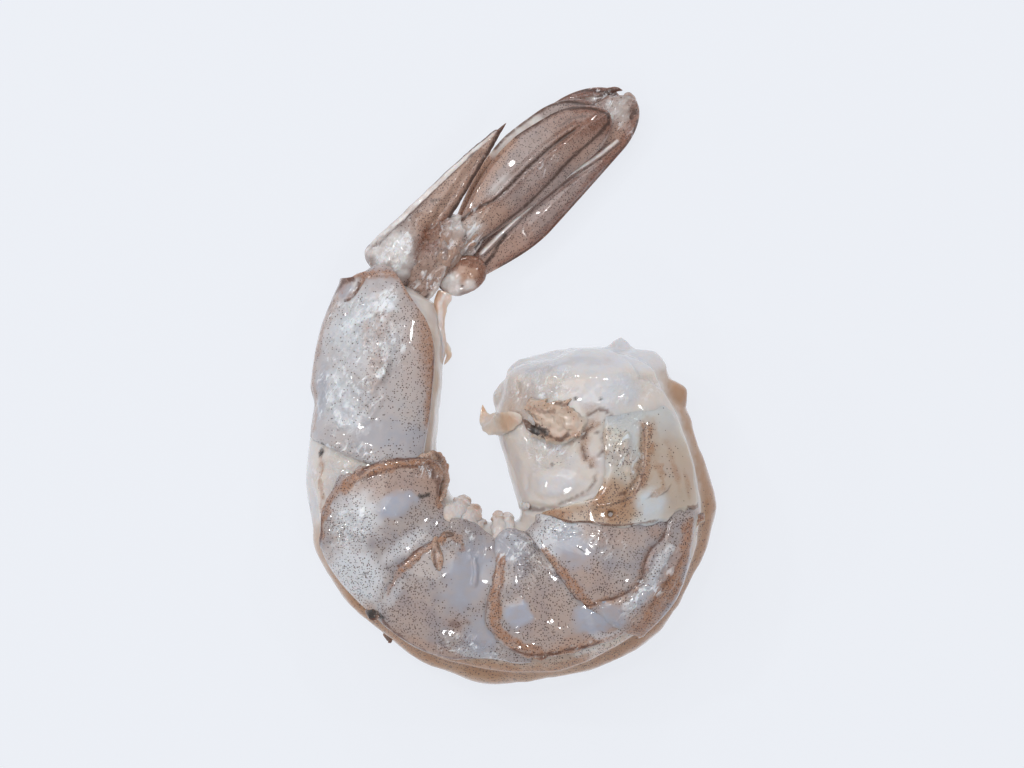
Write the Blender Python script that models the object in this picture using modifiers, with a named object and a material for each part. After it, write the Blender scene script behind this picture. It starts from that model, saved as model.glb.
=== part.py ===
"""Raw tiger prawn: headless, shell on, split along the back, curled on its side.

Standalone Blender 4.5 script, in metres with +Z up. The prawn lies with its left flank up, and the
origin is under the middle of its outline, on the surface that it rests on. Lengths in the tables are
in millimetres, and the build turns them into metres.
"""

import math

import bmesh
import bpy
import numpy as np
from mathutils import Matrix, Vector

MM = 0.001
SHARP_DEGREES = 50.0

# The tables' own zero to the middle of the finished outline, x and y.
ORIGIN_SHIFT = (0.18, 0.02)

# The back of segments 1 to 5 is one oval arc, two stations to a segment.
ARC_CENTRE = (0.0, -13.25)
ARC_RADIUS = 24.5
ARC_OVAL = 0.75
ARC_OVAL_ANGLE = -19.0
ARC_FIRST_ANGLE = -5.6
ARC_STEP = -22.6
ARC_STATIONS = 9
NECK_BACK = ((19.2, 1.8), (22.5, -5.4))
TAIL_BACK = ((-23.6, -2.0), (-22.7, 6.1), (-19.2, 13.6))

# The belly line from the neck cut to the tail: x, y and half the body's width.
BELLY = (
    (-0.9, 0.9, 7.7),
    (-1.6, -5.2, 8.2),
    (0.5, -13.9, 8.4),
    (1.4, -16.0, 8.4),
    (0.5, -17.0, 8.3),
    (-1.3, -17.3, 8.1),
    (-3.2, -17.1, 7.9),
    (-5.6, -15.9, 7.6),
    (-7.8, -14.0, 7.2),
    (-9.0, -11.8, 6.9),
    (-9.4, -8.7, 6.5),
    (-9.0, -2.0, 6.1),
    (-8.3, 4.8, 5.6),
    (-10.0, 9.8, 4.7),
)
NECK_STATION = 0.0
TAIL_STATION = 13.0
LAST_SPLIT_STATION = 10.0
STATION_TRIES = 80

# Layers outward from the flesh: a gap, one plate, a gap, and the plate that laps over it.
PLATE_GAP = 0.3
PLATE_THICKNESS = 0.35
LAP_RISE = PLATE_GAP + PLATE_THICKNESS
FLESH_FLOOR = 2 * LAP_RISE
SIDE_FLATTENING = 0.93
NORMAL_STATION_STEP = 0.04
NORMAL_ANGLE_STEP = 3.0

# Superellipse exponents of the cross-section, under 1 for fuller shoulders.
SECTION_BACK = 0.9
SECTION_SIDE = 0.82

SEGMENT_SWELL = 0.35
FURROW_ANGLE = 18.0
FURROW_WIDTH = 9.0
FURROW_DEPTH = 1.1
FURROW_FADE = 0.6
NECK_DOME = 3.0
NECK_SLANT = 1.3
NECK_SLANT_END = 1.5
TAIL_DOME = 1.0

FLESH_SIDES = 32
FLESH_RINGS = 46
NECK_RINGS = 4
TAIL_RINGS = 3

# Half plates of segments 1 to 5: the front edge's station at the back and belly, the rear edge's at the
# back, flank and belly, then the back edge's angle, and the belly edge's angle at the front and rear.
HALF_PLATES = {
    1: (0.75, 0.75, 2.05, 2.45, 2.70, 42.0, 88.0, 130.0),
    2: (1.65, 2.35, 4.40, 4.35, 4.15, 44.0, 138.0, 142.0),
    3: (3.75, 3.75, 5.85, 6.12, 5.95, 46.0, 142.0, 142.0),
    4: (5.40, 5.40, 7.70, 7.92, 7.70, 36.0, 142.0, 142.0),
    5: (7.10, 7.10, 9.45, 10.00, 9.90, 38.0, 142.0, 152.0),
}
PLATE_COLUMNS = 12
PLATE_ROWS = 8
LAP_START = 0.30
LAP_END = 0.62
CORNER_ROUNDING = 0.10

# The ring of segment 6 wraps over the back in one piece: stations of its front edge at the back and
# belly, and of its rear edge at the back, flank and belly.
TAIL_RING_FRONT = (10.4, 9.45)
TAIL_RING_REAR = (12.85, 13.35, 12.70)
TAIL_RING_BELLY_ANGLE = 140.0
TAIL_RING_COLUMNS = 26
TAIL_RING_ROWS = 9

# The telson is a solid spike: root and tip (x, y, z), half width, half height, sideways bow and the
# share of its length in which the blunt root widens.
TELSON_ROOT = (-15.9, 14.3, 6.2)
TELSON_TIP = (-0.7, 32.7, 6.4)
TELSON_SIZES = (3.1, 1.7)
TELSON_BOW = 0.35
TELSON_ROOT_SHARE = 0.14
TELSON_TAPER = 0.55
TELSON_EDGE = 1.25
TELSON_SIDES = 16
TELSON_RINGS = 18

# Tail fan blades: root and tip (x, y, z), half width, sideways bow, roll in degrees, crown, rib height,
# the root's share of the full width, where the blade is widest and where its tip starts to round.
BLADES = {
    "endopod_near": ((-5.7, 18.6, 5.4), (12.1, 34.0, 4.7), 4.1, -1.3, 3.0, 0.6, 0.35, 0.42, 0.55, 0.76),
    "exopod_near": ((-4.2, 15.9, 3.6), (15.3, 35.7, 3.0), 3.9, 0.1, 3.0, 0.5, 0.35, 0.50, 0.32, 0.84),
    "endopod_far": ((-5.9, 18.3, 2.3), (10.8, 34.6, 1.7), 3.6, -0.8, 2.0, 0.4, 0.30, 0.42, 0.55, 0.76),
    "exopod_far": ((-6.2, 18.2, 1.0), (13.2, 36.6, 0.35), 3.7, -1.3, 0.0, 0.3, 0.30, 0.50, 0.40, 0.78),
}
BLADE_TAPER = 0.22
BLADE_RIB_WIDTH = 0.2
BLADE_THICKNESS = 0.4
BLADE_COLUMNS = 8
BLADE_ROWS = 14
BLADE_TIP_WIDTH = 0.12

# Basal joints of the tail fan: centre, half length, half depth, half height and heading in degrees.
BASES = {
    "protopod_near": ((-10.2, 14.9, 8.6), 3.7, 2.3, 1.6, 62.0),
    "protopod_far": ((-10.2, 14.9, 3.2), 3.6, 2.2, 1.6, 62.0),
    "protopod_lobe": ((-5.9, 13.5, 5.6), 3.0, 2.2, 1.2, 20.0),
}

# A torn scrap of membrane on the upper flank beside the neck: stations, angles in degrees and ripple.
MEMBRANE_STATIONS = (0.30, 1.12)
MEMBRANE_ANGLES = (97.0, 128.0)
MEMBRANE_RIPPLE = 0.12
MEMBRANE_WAVES = 5.0
MEMBRANE_FRONT_BOW = 0.12
MEMBRANE_SIDE_BOW = 0.10
MEMBRANE_COLUMNS = 10
MEMBRANE_ROWS = 8

# Leg stumps and torn flesh along the belly: centre, three half sizes and heading in degrees.
LUMP_SIDES = 14
LUMP_RINGS = 8
STUMPS = (
    ((-6.6, -15.2, 8.6), (2.1, 1.3, 1.5), 30.0),
    ((-5.3, -14.9, 7.4), (1.3, 1.0, 1.2), -35.0),
    ((-1.6, -16.9, 8.9), (1.6, 1.1, 1.4), 80.0),
    ((-2.4, -4.6, 9.6), (2.3, 1.0, 1.0), -50.0),
    ((-8.1, 4.2, 6.2), (0.6, 1.7, 0.7), 12.0),
    ((-9.2, -10.6, 6.4), (1.2, 1.6, 1.9), 0.0),
)

COLOURS = {
    "flesh": ((0.72, 0.66, 0.62), 0.32),
    "shell": ((0.52, 0.46, 0.44), 0.28),
    "fan": ((0.42, 0.34, 0.31), 0.30),
}


def clear_scene():
    """Remove what the startup scene holds."""
    for thing in list(bpy.data.objects):
        bpy.data.objects.remove(thing, do_unlink=True)


def material(name):
    """The Principled material of one finish."""
    colour, roughness = COLOURS[name]
    found = bpy.data.materials.get(name) or bpy.data.materials.new(name)
    found.use_nodes = True
    shader = found.node_tree.nodes["Principled BSDF"]
    shader.inputs["Base Color"].default_value = (*colour, 1.0)
    shader.inputs["Roughness"].default_value = roughness
    shader.inputs["Metallic"].default_value = 0.0
    return found


def back_table():
    """Points of the back line, one for each station."""
    rows = list(NECK_BACK)
    for index in range(ARC_STATIONS):
        angle = math.radians(ARC_FIRST_ANGLE + ARC_STEP * index)
        radius = ARC_RADIUS + ARC_OVAL * math.cos(2 * (angle - math.radians(ARC_OVAL_ANGLE)))
        rows.append(
            (
                ARC_CENTRE[0] + radius * math.cos(angle),
                ARC_CENTRE[1] + radius * math.sin(angle),
            )
        )
    rows.extend(TAIL_BACK)
    return np.array(rows)


BACK_ROWS = back_table()
BELLY_ROWS = np.array(BELLY)


def along(rows, station):
    """Catmull-Rom curve through the rows of a table, read at a station number."""
    last = len(rows) - 1
    start = int(min(max(math.floor(station), 0), last - 1))
    t = station - start
    p1, p2 = rows[start], rows[start + 1]
    p0 = rows[start - 1] if start > 0 else 2 * p1 - p2
    p3 = rows[start + 2] if start + 2 <= last else 2 * p2 - p1
    return p1 + 0.5 * t * (
        p2 - p0 + t * (2 * p0 - 5 * p1 + 4 * p2 - p3 + t * (3 * (p1 - p2) + p3 - p0))
    )


def smooth(low, high, value):
    """0 below low, 1 above high, with a smooth step between."""
    t = min(max((value - low) / (high - low), 0.0), 1.0)
    return t * t * (3 - 2 * t)


def signed_power(value, exponent):
    """A power that keeps the sign of its base."""
    return math.copysign(abs(value) ** exponent, value)


def flesh_point(station, angle, share=1.0, dome=0.0):
    """A point of the flesh in mm. The angle runs from the back (0) over the upper flank to the belly."""
    back = along(BACK_ROWS, station)
    belly = along(BELLY_ROWS, station)
    half_width = belly[2]
    middle = (back + belly[:2]) / 2
    reach = (back - belly[:2]) / 2
    half_depth = float(np.linalg.norm(reach))
    outward = reach / half_depth
    radians = math.radians(angle)
    across = signed_power(math.cos(radians), SECTION_BACK)
    aside = signed_power(math.sin(radians), SECTION_SIDE)
    swell = SEGMENT_SWELL * math.sin(math.pi * station / 2) ** 2
    groove = math.exp(-(((angle - FURROW_ANGLE) / FURROW_WIDTH) ** 2)) * FURROW_DEPTH
    groove *= 1 - smooth(LAST_SPLIT_STATION - FURROW_FADE, LAST_SPLIT_STATION, station)
    depth = across * (half_depth + swell - groove)
    height = FLESH_FLOOR + half_width * SIDE_FLATTENING + aside * (half_width + swell) * share
    flat = middle + outward * depth * share
    ahead = np.array((-outward[1], outward[0]))
    if along(BACK_ROWS, station + 0.05) @ ahead > along(BACK_ROWS, station) @ ahead:
        ahead = -ahead
    if station < TAIL_STATION / 2:
        slant = NECK_SLANT * (1 - smooth(NECK_STATION, NECK_SLANT_END, station))
        flat = flat + ahead * (dome * NECK_DOME - slant * aside * share)
    else:
        flat = flat - ahead * dome * TAIL_DOME
    return np.array((flat[0], flat[1], max(height, FLESH_FLOOR)))


def skin_point(station, angle, lift):
    """A point lifted off the flesh along its own normal, in mm."""
    step, turn = NORMAL_STATION_STEP, NORMAL_ANGLE_STEP
    along_body = flesh_point(station + step, angle) - flesh_point(station - step, angle)
    round_body = flesh_point(station, angle + turn) - flesh_point(station, angle - turn)
    normal = np.cross(round_body, along_body)
    normal /= np.linalg.norm(normal)
    point = flesh_point(station, angle)
    middle = flesh_point(station, angle, share=0.0)
    if normal @ (point - middle) < 0:
        normal = -normal
    return point + normal * lift


def new_object(name, mesh, collection, finish):
    """An object of this mesh with its finish, moved to the part's origin."""
    made = bpy.data.objects.new(name, mesh)
    made.location = (ORIGIN_SHIFT[0] * MM, ORIGIN_SHIFT[1] * MM, 0.0)
    collection.objects.link(made)
    made.data.materials.append(material(finish))
    return made


def mesh_from(bm, name):
    """The mesh of a bmesh with its faces turned outward, shaded smooth."""
    bmesh.ops.recalc_face_normals(bm, faces=bm.faces)
    if bm.calc_volume(signed=True) < 0:
        bmesh.ops.reverse_faces(bm, faces=bm.faces)
    mesh = bpy.data.meshes.new(name)
    bm.to_mesh(mesh)
    bm.free()
    mesh.shade_smooth()
    mesh.set_sharp_from_angle(angle=math.radians(SHARP_DEGREES))
    return mesh


def ring_place(ring):
    """The station, share of the section and dome height of one ring of the flesh, neck to tail."""
    last = FLESH_RINGS - TAIL_RINGS
    if ring < NECK_RINGS:
        turn = math.pi / 2 * ring / NECK_RINGS
        return NECK_STATION, math.sin(turn), math.cos(turn)
    if ring > last:
        turn = math.pi / 2 * (FLESH_RINGS - ring) / TAIL_RINGS
        return TAIL_STATION, math.sin(turn), math.cos(turn)
    part = (ring - NECK_RINGS) / (last - NECK_RINGS)
    return NECK_STATION + part * (TAIL_STATION - NECK_STATION), 1.0, 0.0


def flesh_body(collection):
    """The muscle from the neck cut to the tail: a sphere's rings spread along the curl."""
    bm = bmesh.new()
    bmesh.ops.create_uvsphere(bm, u_segments=FLESH_SIDES, v_segments=FLESH_RINGS, radius=1.0)
    for vertex in bm.verts:
        ring = round(math.acos(max(-1.0, min(1.0, vertex.co.z))) / math.pi * FLESH_RINGS)
        angle = math.degrees(math.atan2(vertex.co.y, vertex.co.x))
        station, share, dome = ring_place(ring)
        vertex.co = Vector(flesh_point(station, angle, share, dome)) * MM
    return new_object("flesh", mesh_from(bm, "flesh"), collection, "flesh")


def ellipsoid(name, centre, sizes, heading, collection, finish):
    """A rounded lump at a place, turned about the vertical."""
    bm = bmesh.new()
    bmesh.ops.create_uvsphere(bm, u_segments=LUMP_SIDES, v_segments=LUMP_RINGS, radius=1.0)
    shape = Matrix.Diagonal((*[size * MM for size in sizes], 1.0))
    turn = Matrix.Rotation(math.radians(heading), 4, "Z")
    bm.transform(Matrix.Translation(Vector(centre) * MM) @ turn @ shape)
    return new_object(name, mesh_from(bm, name), collection, finish)


def join_stumps(flesh):
    """Fuse the leg stumps and torn bits to the flesh with one union."""
    stumps = bpy.data.collections.new("stumps")
    bpy.context.scene.collection.children.link(stumps)
    for index, (centre, sizes, heading) in enumerate(STUMPS):
        ellipsoid(f"stump_{index}", centre, sizes, heading, stumps, "flesh")
    union = flesh.modifiers.new("stumps", "BOOLEAN")
    union.operation = "UNION"
    union.operand_type = "COLLECTION"
    union.collection = stumps
    union.solver = "EXACT"
    bpy.context.view_layer.update()
    graph = bpy.context.evaluated_depsgraph_get()
    joined = bpy.data.meshes.new_from_object(flesh.evaluated_get(graph))
    flesh.modifiers.clear()
    flesh.data = joined
    for stump in list(stumps.objects):
        bpy.data.objects.remove(stump, do_unlink=True)
    bpy.data.collections.remove(stumps)


def shell_sheet(name, place, columns, rows, collection, finish="shell"):
    """A plate of shell: a grid laid over the flesh by place(across, along), then thickened outward."""
    bm = bmesh.new()
    bmesh.ops.create_grid(bm, x_segments=columns, y_segments=rows, size=0.5)
    for vertex in bm.verts:
        point = place(vertex.co.x + 0.5, vertex.co.y + 0.5)
        vertex.co = Vector(point) * MM
    sheet = new_object(name, mesh_from(bm, name), collection, finish)
    aim_outward(sheet)
    thicken = sheet.modifiers.new("thickness", "SOLIDIFY")
    thicken.thickness = PLATE_THICKNESS * MM
    thicken.offset = 1.0
    return sheet


def aim_outward(sheet):
    """Turn a plate's faces away from the flesh that it covers."""
    mesh = sheet.data
    middle = sum((v.co for v in mesh.vertices), Vector()) / len(mesh.vertices)
    station = nearest_station(middle / MM)
    core = Vector(flesh_point(station, 0.0, share=0.0)) * MM
    vote = sum(face.normal.dot(face.center - core) * face.area for face in mesh.polygons)
    if vote < 0:
        mesh.flip_normals()


def nearest_station(point):
    """The station whose section middle lies nearest to a point in mm."""
    stations = np.linspace(NECK_STATION, TAIL_STATION, STATION_TRIES)
    gaps = [np.linalg.norm(flesh_point(s, 0.0, share=0.0)[:2] - np.array(point)[:2]) for s in stations]
    return float(stations[int(np.argmin(gaps))])


def margin(at_back, at_flank, at_belly, across):
    """A plate's rear edge as a parabola through its stations at the back, flank and belly."""
    return (
        at_back * (1 - across) * (1 - 2 * across)
        + 4 * at_flank * across * (1 - across)
        + at_belly * across * (2 * across - 1)
    )


def half_plate_place(sizes, side):
    """place(across, along) of one half plate. side is 1 for the upper flank and -1 for the lower."""
    front_back, front_belly, *rear_stations = sizes[:5]
    back_angle, belly_front, belly_rear = sizes[5:]

    def place(across, length):
        front = front_back + (front_belly - front_back) * across
        station = front + (margin(*rear_stations, across) - front) * length
        belly_angle = belly_front + (belly_rear - belly_front) * length**2
        belly_angle *= 1 - CORNER_ROUNDING * (2 * length - 1) ** 4
        angle = back_angle + (belly_angle - back_angle) * across
        lift = PLATE_GAP + LAP_RISE * smooth(LAP_START, LAP_END, length)
        return on_floor(skin_point(station, side * angle, lift))

    return place


def tail_ring_place(across, length):
    """place(across, along) of the whole ring of segment 6."""
    from_back = abs(2 * across - 1)
    front = TAIL_RING_FRONT[0] + (TAIL_RING_FRONT[1] - TAIL_RING_FRONT[0]) * from_back**2
    station = front + (margin(*TAIL_RING_REAR, from_back) - front) * length
    reach = TAIL_RING_BELLY_ANGLE * (1 - CORNER_ROUNDING * (2 * length - 1) ** 4)
    angle = reach * (2 * across - 1)
    return on_floor(skin_point(station, angle, PLATE_GAP))


def membrane_place(across, length):
    """place(across, along) of the torn membrane, rippled and with an uneven outline."""
    front, rear = MEMBRANE_STATIONS
    back, belly = MEMBRANE_ANGLES
    wave = math.sin(MEMBRANE_WAVES * across + 1.0) * math.cos(MEMBRANE_WAVES * length)
    station = front + (rear - front) * (length + MEMBRANE_FRONT_BOW * math.sin(math.pi * across))
    angle = back + (belly - back) * (across + MEMBRANE_SIDE_BOW * math.sin(2 * math.pi * length))
    return skin_point(station, angle, PLATE_GAP + MEMBRANE_RIPPLE * (1 + wave))


def on_floor(point):
    """Keep a plate's inner face far enough above the floor for its thickness."""
    point[2] = max(point[2], PLATE_THICKNESS)
    return point


def shells(collection):
    """The plates of segments 1 to 5 in two halves each, the ring of segment 6 and the torn membrane."""
    for number, sizes in HALF_PLATES.items():
        for side, flank in ((1, "near"), (-1, "far")):
            shell_sheet(
                f"shell_{number}_{flank}",
                half_plate_place(sizes, side),
                PLATE_COLUMNS,
                PLATE_ROWS,
                collection,
            )
    shell_sheet("shell_6", tail_ring_place, TAIL_RING_COLUMNS, TAIL_RING_ROWS, collection)
    shell_sheet("neck_membrane", membrane_place, MEMBRANE_COLUMNS, MEMBRANE_ROWS, collection, "flesh")


def blade_width(length, root_share, widest, round_from):
    """Half the width of a blade at a share of its length, where 1 is its widest."""
    grown = root_share + (1 - root_share) * math.sin(math.pi / 2 * min(length / widest, 1.0))
    taper = 1 - BLADE_TAPER * max(0.0, (length - widest) / (1 - widest))
    past = max(0.0, (length - round_from) / (1 - round_from))
    return max(grown * taper * math.sqrt(max(0.0, 1 - past * past)), BLADE_TIP_WIDTH)


def blade(name, sizes, collection):
    """One blade of the tail fan: a crowned grid with a rib, thickened."""
    root, tip, half_width, bow, roll, crown, rib, *widths = sizes
    root, tip = Vector(root), Vector(tip)
    heading = (tip - root).normalized()
    sideways = heading.cross(Vector((0, 0, 1))).normalized()
    sideways = Matrix.Rotation(math.radians(roll), 3, heading) @ sideways
    upward = sideways.cross(heading).normalized()
    bm = bmesh.new()
    bmesh.ops.create_grid(bm, x_segments=BLADE_COLUMNS, y_segments=BLADE_ROWS, size=0.5)
    for vertex in bm.verts:
        across, length = 2 * vertex.co.x, vertex.co.y + 0.5
        point = root.lerp(tip, length)
        point += sideways * (bow * math.sin(math.pi * length))
        point += sideways * (across * half_width * blade_width(length, *widths))
        point += upward * (crown * (1 - across * across) + rib * math.exp(-((across / BLADE_RIB_WIDTH) ** 2)))
        vertex.co = point * MM
    sheet = new_object(name, mesh_from(bm, name), collection, "fan")
    if sum(face.normal.z * face.area for face in sheet.data.polygons) < 0:
        sheet.data.flip_normals()
    thicken = sheet.modifiers.new("thickness", "SOLIDIFY")
    thicken.thickness = BLADE_THICKNESS * MM
    thicken.offset = 1.0
    return sheet


def telson(collection):
    """The solid spike over the tail fan: a sphere's rings spread from its blunt root to its point."""
    root, tip = Vector(TELSON_ROOT), Vector(TELSON_TIP)
    heading = (tip - root).normalized()
    sideways = heading.cross(Vector((0, 0, 1))).normalized()
    upward = sideways.cross(heading)
    half_width, half_height = TELSON_SIZES
    bm = bmesh.new()
    bmesh.ops.create_uvsphere(bm, u_segments=TELSON_SIDES, v_segments=TELSON_RINGS, radius=1.0)
    for vertex in bm.verts:
        length = math.acos(max(-1.0, min(1.0, vertex.co.z))) / math.pi
        turn = math.atan2(vertex.co.y, vertex.co.x)
        opening = 1 - max(0.0, 1 - length / TELSON_ROOT_SHARE) ** 2
        girth = math.sqrt(opening) * (1 - length) ** TELSON_TAPER
        point = root.lerp(tip, length)
        point += sideways * (TELSON_BOW * math.sin(math.pi * length))
        point += sideways * (half_width * girth * signed_power(math.cos(turn), TELSON_EDGE))
        point += upward * (half_height * girth * signed_power(math.sin(turn), TELSON_EDGE))
        vertex.co = point * MM
    return new_object("telson", mesh_from(bm, "telson"), collection, "fan")


def tail_fan(collection):
    """The telson, the four blades and the joints that they grow from."""
    telson(collection)
    for name, sizes in BLADES.items():
        blade(name, sizes, collection)
    for name, (centre, length, depth, height, heading) in BASES.items():
        ellipsoid(name, centre, (length, depth, height), heading, collection, "fan")


def main():
    """Build the whole prawn in one collection."""
    clear_scene()
    prawn = bpy.data.collections.new("raw_tiger_prawn")
    bpy.context.scene.collection.children.link(prawn)
    flesh = flesh_body(prawn)
    join_stumps(flesh)
    shells(prawn)
    tail_fan(prawn)


main()
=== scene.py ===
"""Looks of a raw tiger prawn, headless, curled and lying on its side.

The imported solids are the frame. Each piece here follows a solid from the same
measures, on a finer mesh that holds the folds, the pigment and the wet film.
Lengths are in millimetres until a mesh is made.
"""

import logging
import math
from dataclasses import dataclass, field
from enum import Enum
from typing import Callable

import bmesh
import bpy
import numpy as np
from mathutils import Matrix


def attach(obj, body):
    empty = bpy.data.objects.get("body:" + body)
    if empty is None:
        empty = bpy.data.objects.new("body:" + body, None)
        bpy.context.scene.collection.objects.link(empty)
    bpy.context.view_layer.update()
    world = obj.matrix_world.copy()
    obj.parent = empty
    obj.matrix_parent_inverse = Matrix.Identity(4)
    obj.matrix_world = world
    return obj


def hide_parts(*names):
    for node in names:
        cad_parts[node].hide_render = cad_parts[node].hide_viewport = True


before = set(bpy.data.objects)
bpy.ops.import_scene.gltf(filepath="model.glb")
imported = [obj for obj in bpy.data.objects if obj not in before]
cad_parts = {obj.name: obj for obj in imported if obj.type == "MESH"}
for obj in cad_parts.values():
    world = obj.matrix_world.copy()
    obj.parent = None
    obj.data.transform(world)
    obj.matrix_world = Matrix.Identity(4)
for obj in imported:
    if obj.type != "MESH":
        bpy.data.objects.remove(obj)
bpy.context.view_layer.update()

LOG = logging.getLogger("prawn")

MM = 0.001
BODY = "root"
ORIGIN_SHIFT = (0.18, 0.02)
WRINKLE_HEADING = math.radians(55)
SHIFT = (*ORIGIN_SHIFT, 0.0)
UP = (0.0, 0.0, 1.0)
TINY = 1e-9
FAR_AWAY = 1e3
CENTRE_STEP = 0.01
THIN_EDGE = 0.35
INNER_RELIEF = 0.9
FLOOR_GAP = 0.02
EDGE_RUN = 0.5

Array = np.ndarray
Path = tuple[tuple[float, float], ...]
Chart = Callable[[Array, Array], Array]


# Small sums that the shapes share


def smooth(low: float, high: float, value: Array) -> Array:
    """Rise from 0 to 1 with a soft start and end.

    Args:
        low: Where the rise starts.
        high: Where it ends.
        value: Numbers to place on the rise.

    Returns:
        One share between 0 and 1 for each number.
    """
    t = np.clip((value - low) / (high - low), 0.0, 1.0)
    return t * t * (3 - 2 * t)


def signed_power(value: Array, exponent: float) -> Array:
    """Raise to a power and keep the sign of the base."""
    return np.sign(value) * np.abs(value) ** exponent


def along(rows: Array, station: Array) -> Array:
    """Read a table as a smooth curve through its rows.

    Args:
        rows: The table, one row for each whole station.
        station: Where to read it.

    Returns:
        One row for each station asked for.
    """
    padded = np.vstack([2 * rows[:1] - rows[1:2], rows, 2 * rows[-1:] - rows[-2:-1]])
    start = np.clip(np.floor(station).astype(int), 0, len(rows) - 2)
    t = (station - start)[:, None]
    p0, p1, p2, p3 = (padded[start + step] for step in range(4))
    bend = t * (2 * p0 - 5 * p1 + 4 * p2 - p3 + t * (3 * (p1 - p2) + p3 - p0))
    return p1 + 0.5 * t * (p2 - p0 + bend)


def read(table: Path, value: Array) -> Array:
    """Read a curve given as pairs, rounded between them.

    Args:
        table: Pairs of place and value, in order of place.
        value: Places to read.

    Returns:
        The curve's value at each place.
    """
    x, y = np.array(table, float).T
    slope = np.gradient(y, x)
    start = np.clip(np.searchsorted(x, value) - 1, 0, len(x) - 2)
    width = x[start + 1] - x[start]
    t = np.clip((value - x[start]) / width, 0.0, 1.0)
    rise = smooth(0.0, 1.0, t)
    enter = slope[start] * width * t * (1 - t) ** 2
    leave = slope[start + 1] * width * t * t * (1 - t)
    return y[start] + (y[start + 1] - y[start]) * rise + enter - leave


def lattice(cell: Array, seed: int) -> Array:
    """Give each cell of space its own fixed number.

    Args:
        cell: Whole coordinates, three for each cell.
        seed: Picks one set of numbers.

    Returns:
        One number between -1 and 1 for each cell.
    """
    mixed = cell @ np.array([73856093, 19349663, 83492791]) + seed * 2654435761
    mixed = (mixed ^ (mixed >> 13)) * 1274126177 & 0xFFFFFFFF
    mixed = (mixed ^ (mixed >> 16)) & 0xFFFF
    return mixed / 0x7FFF - 1.0


def ripple(points: Array, size: float, seed: int) -> Array:
    """Soft random waves in space.

    Args:
        points: Places, three numbers each.
        size: Width of one wave.
        seed: Picks one set of waves.

    Returns:
        One height between -1 and 1 for each place.
    """
    grid = points / size
    cell = np.floor(grid).astype(np.int64)
    part = smooth(0.0, 1.0, grid - cell)
    total = np.zeros(len(points))
    for corner in np.ndindex(2, 2, 2):
        weight = np.prod(np.where(corner, part, 1 - part), axis=1)
        total += weight * lattice(cell + np.array(corner), seed)
    return total


@dataclass(frozen=True)
class Waves:
    """Soft random waves: their height and width in mm, and the seed that picks them."""

    height: float
    size: float
    seed: int

    def at(self, points: Array) -> Array:
        """The waves' height at each point."""
        return self.height * ripple(points, self.size, self.seed)


def summed(waves: tuple[Waves, ...], points: Array) -> Array:
    """Add up waves of several widths."""
    return sum(wave.at(points) for wave in waves)


def paired(first: Array, second: Array) -> tuple[Array, Array]:
    """Pair each value of one list with each of the other, first list slowest."""
    one, other = np.meshgrid(first, second, indexing="ij")
    return one.reshape(-1), other.reshape(-1)


def line_distance(points: Array, line: Array, reach: float) -> Array:
    """Measure how far points lie from a line of short steps.

    Args:
        points: Places to measure from.
        line: The line's own points.
        reach: Beyond this nothing is measured.

    Returns:
        The distances, or a large number beyond the reach.
    """
    gap = np.full(len(points), FAR_AWAY)
    near = np.all((points > line.min(0) - reach) & (points < line.max(0) + reach), axis=1)
    close = points[near][:, None]
    start, step = line[:-1], np.diff(line, axis=0)
    length = np.maximum((step**2).sum(1), TINY)
    share = np.clip(((close - start) * step).sum(2) / length, 0.0, 1.0)
    away = np.linalg.norm(close - start - share[..., None] * step, axis=2)
    gap[near] = away.min(axis=1, initial=FAR_AWAY)
    return gap


# The body's curl, from the same measures as the solids


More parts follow.
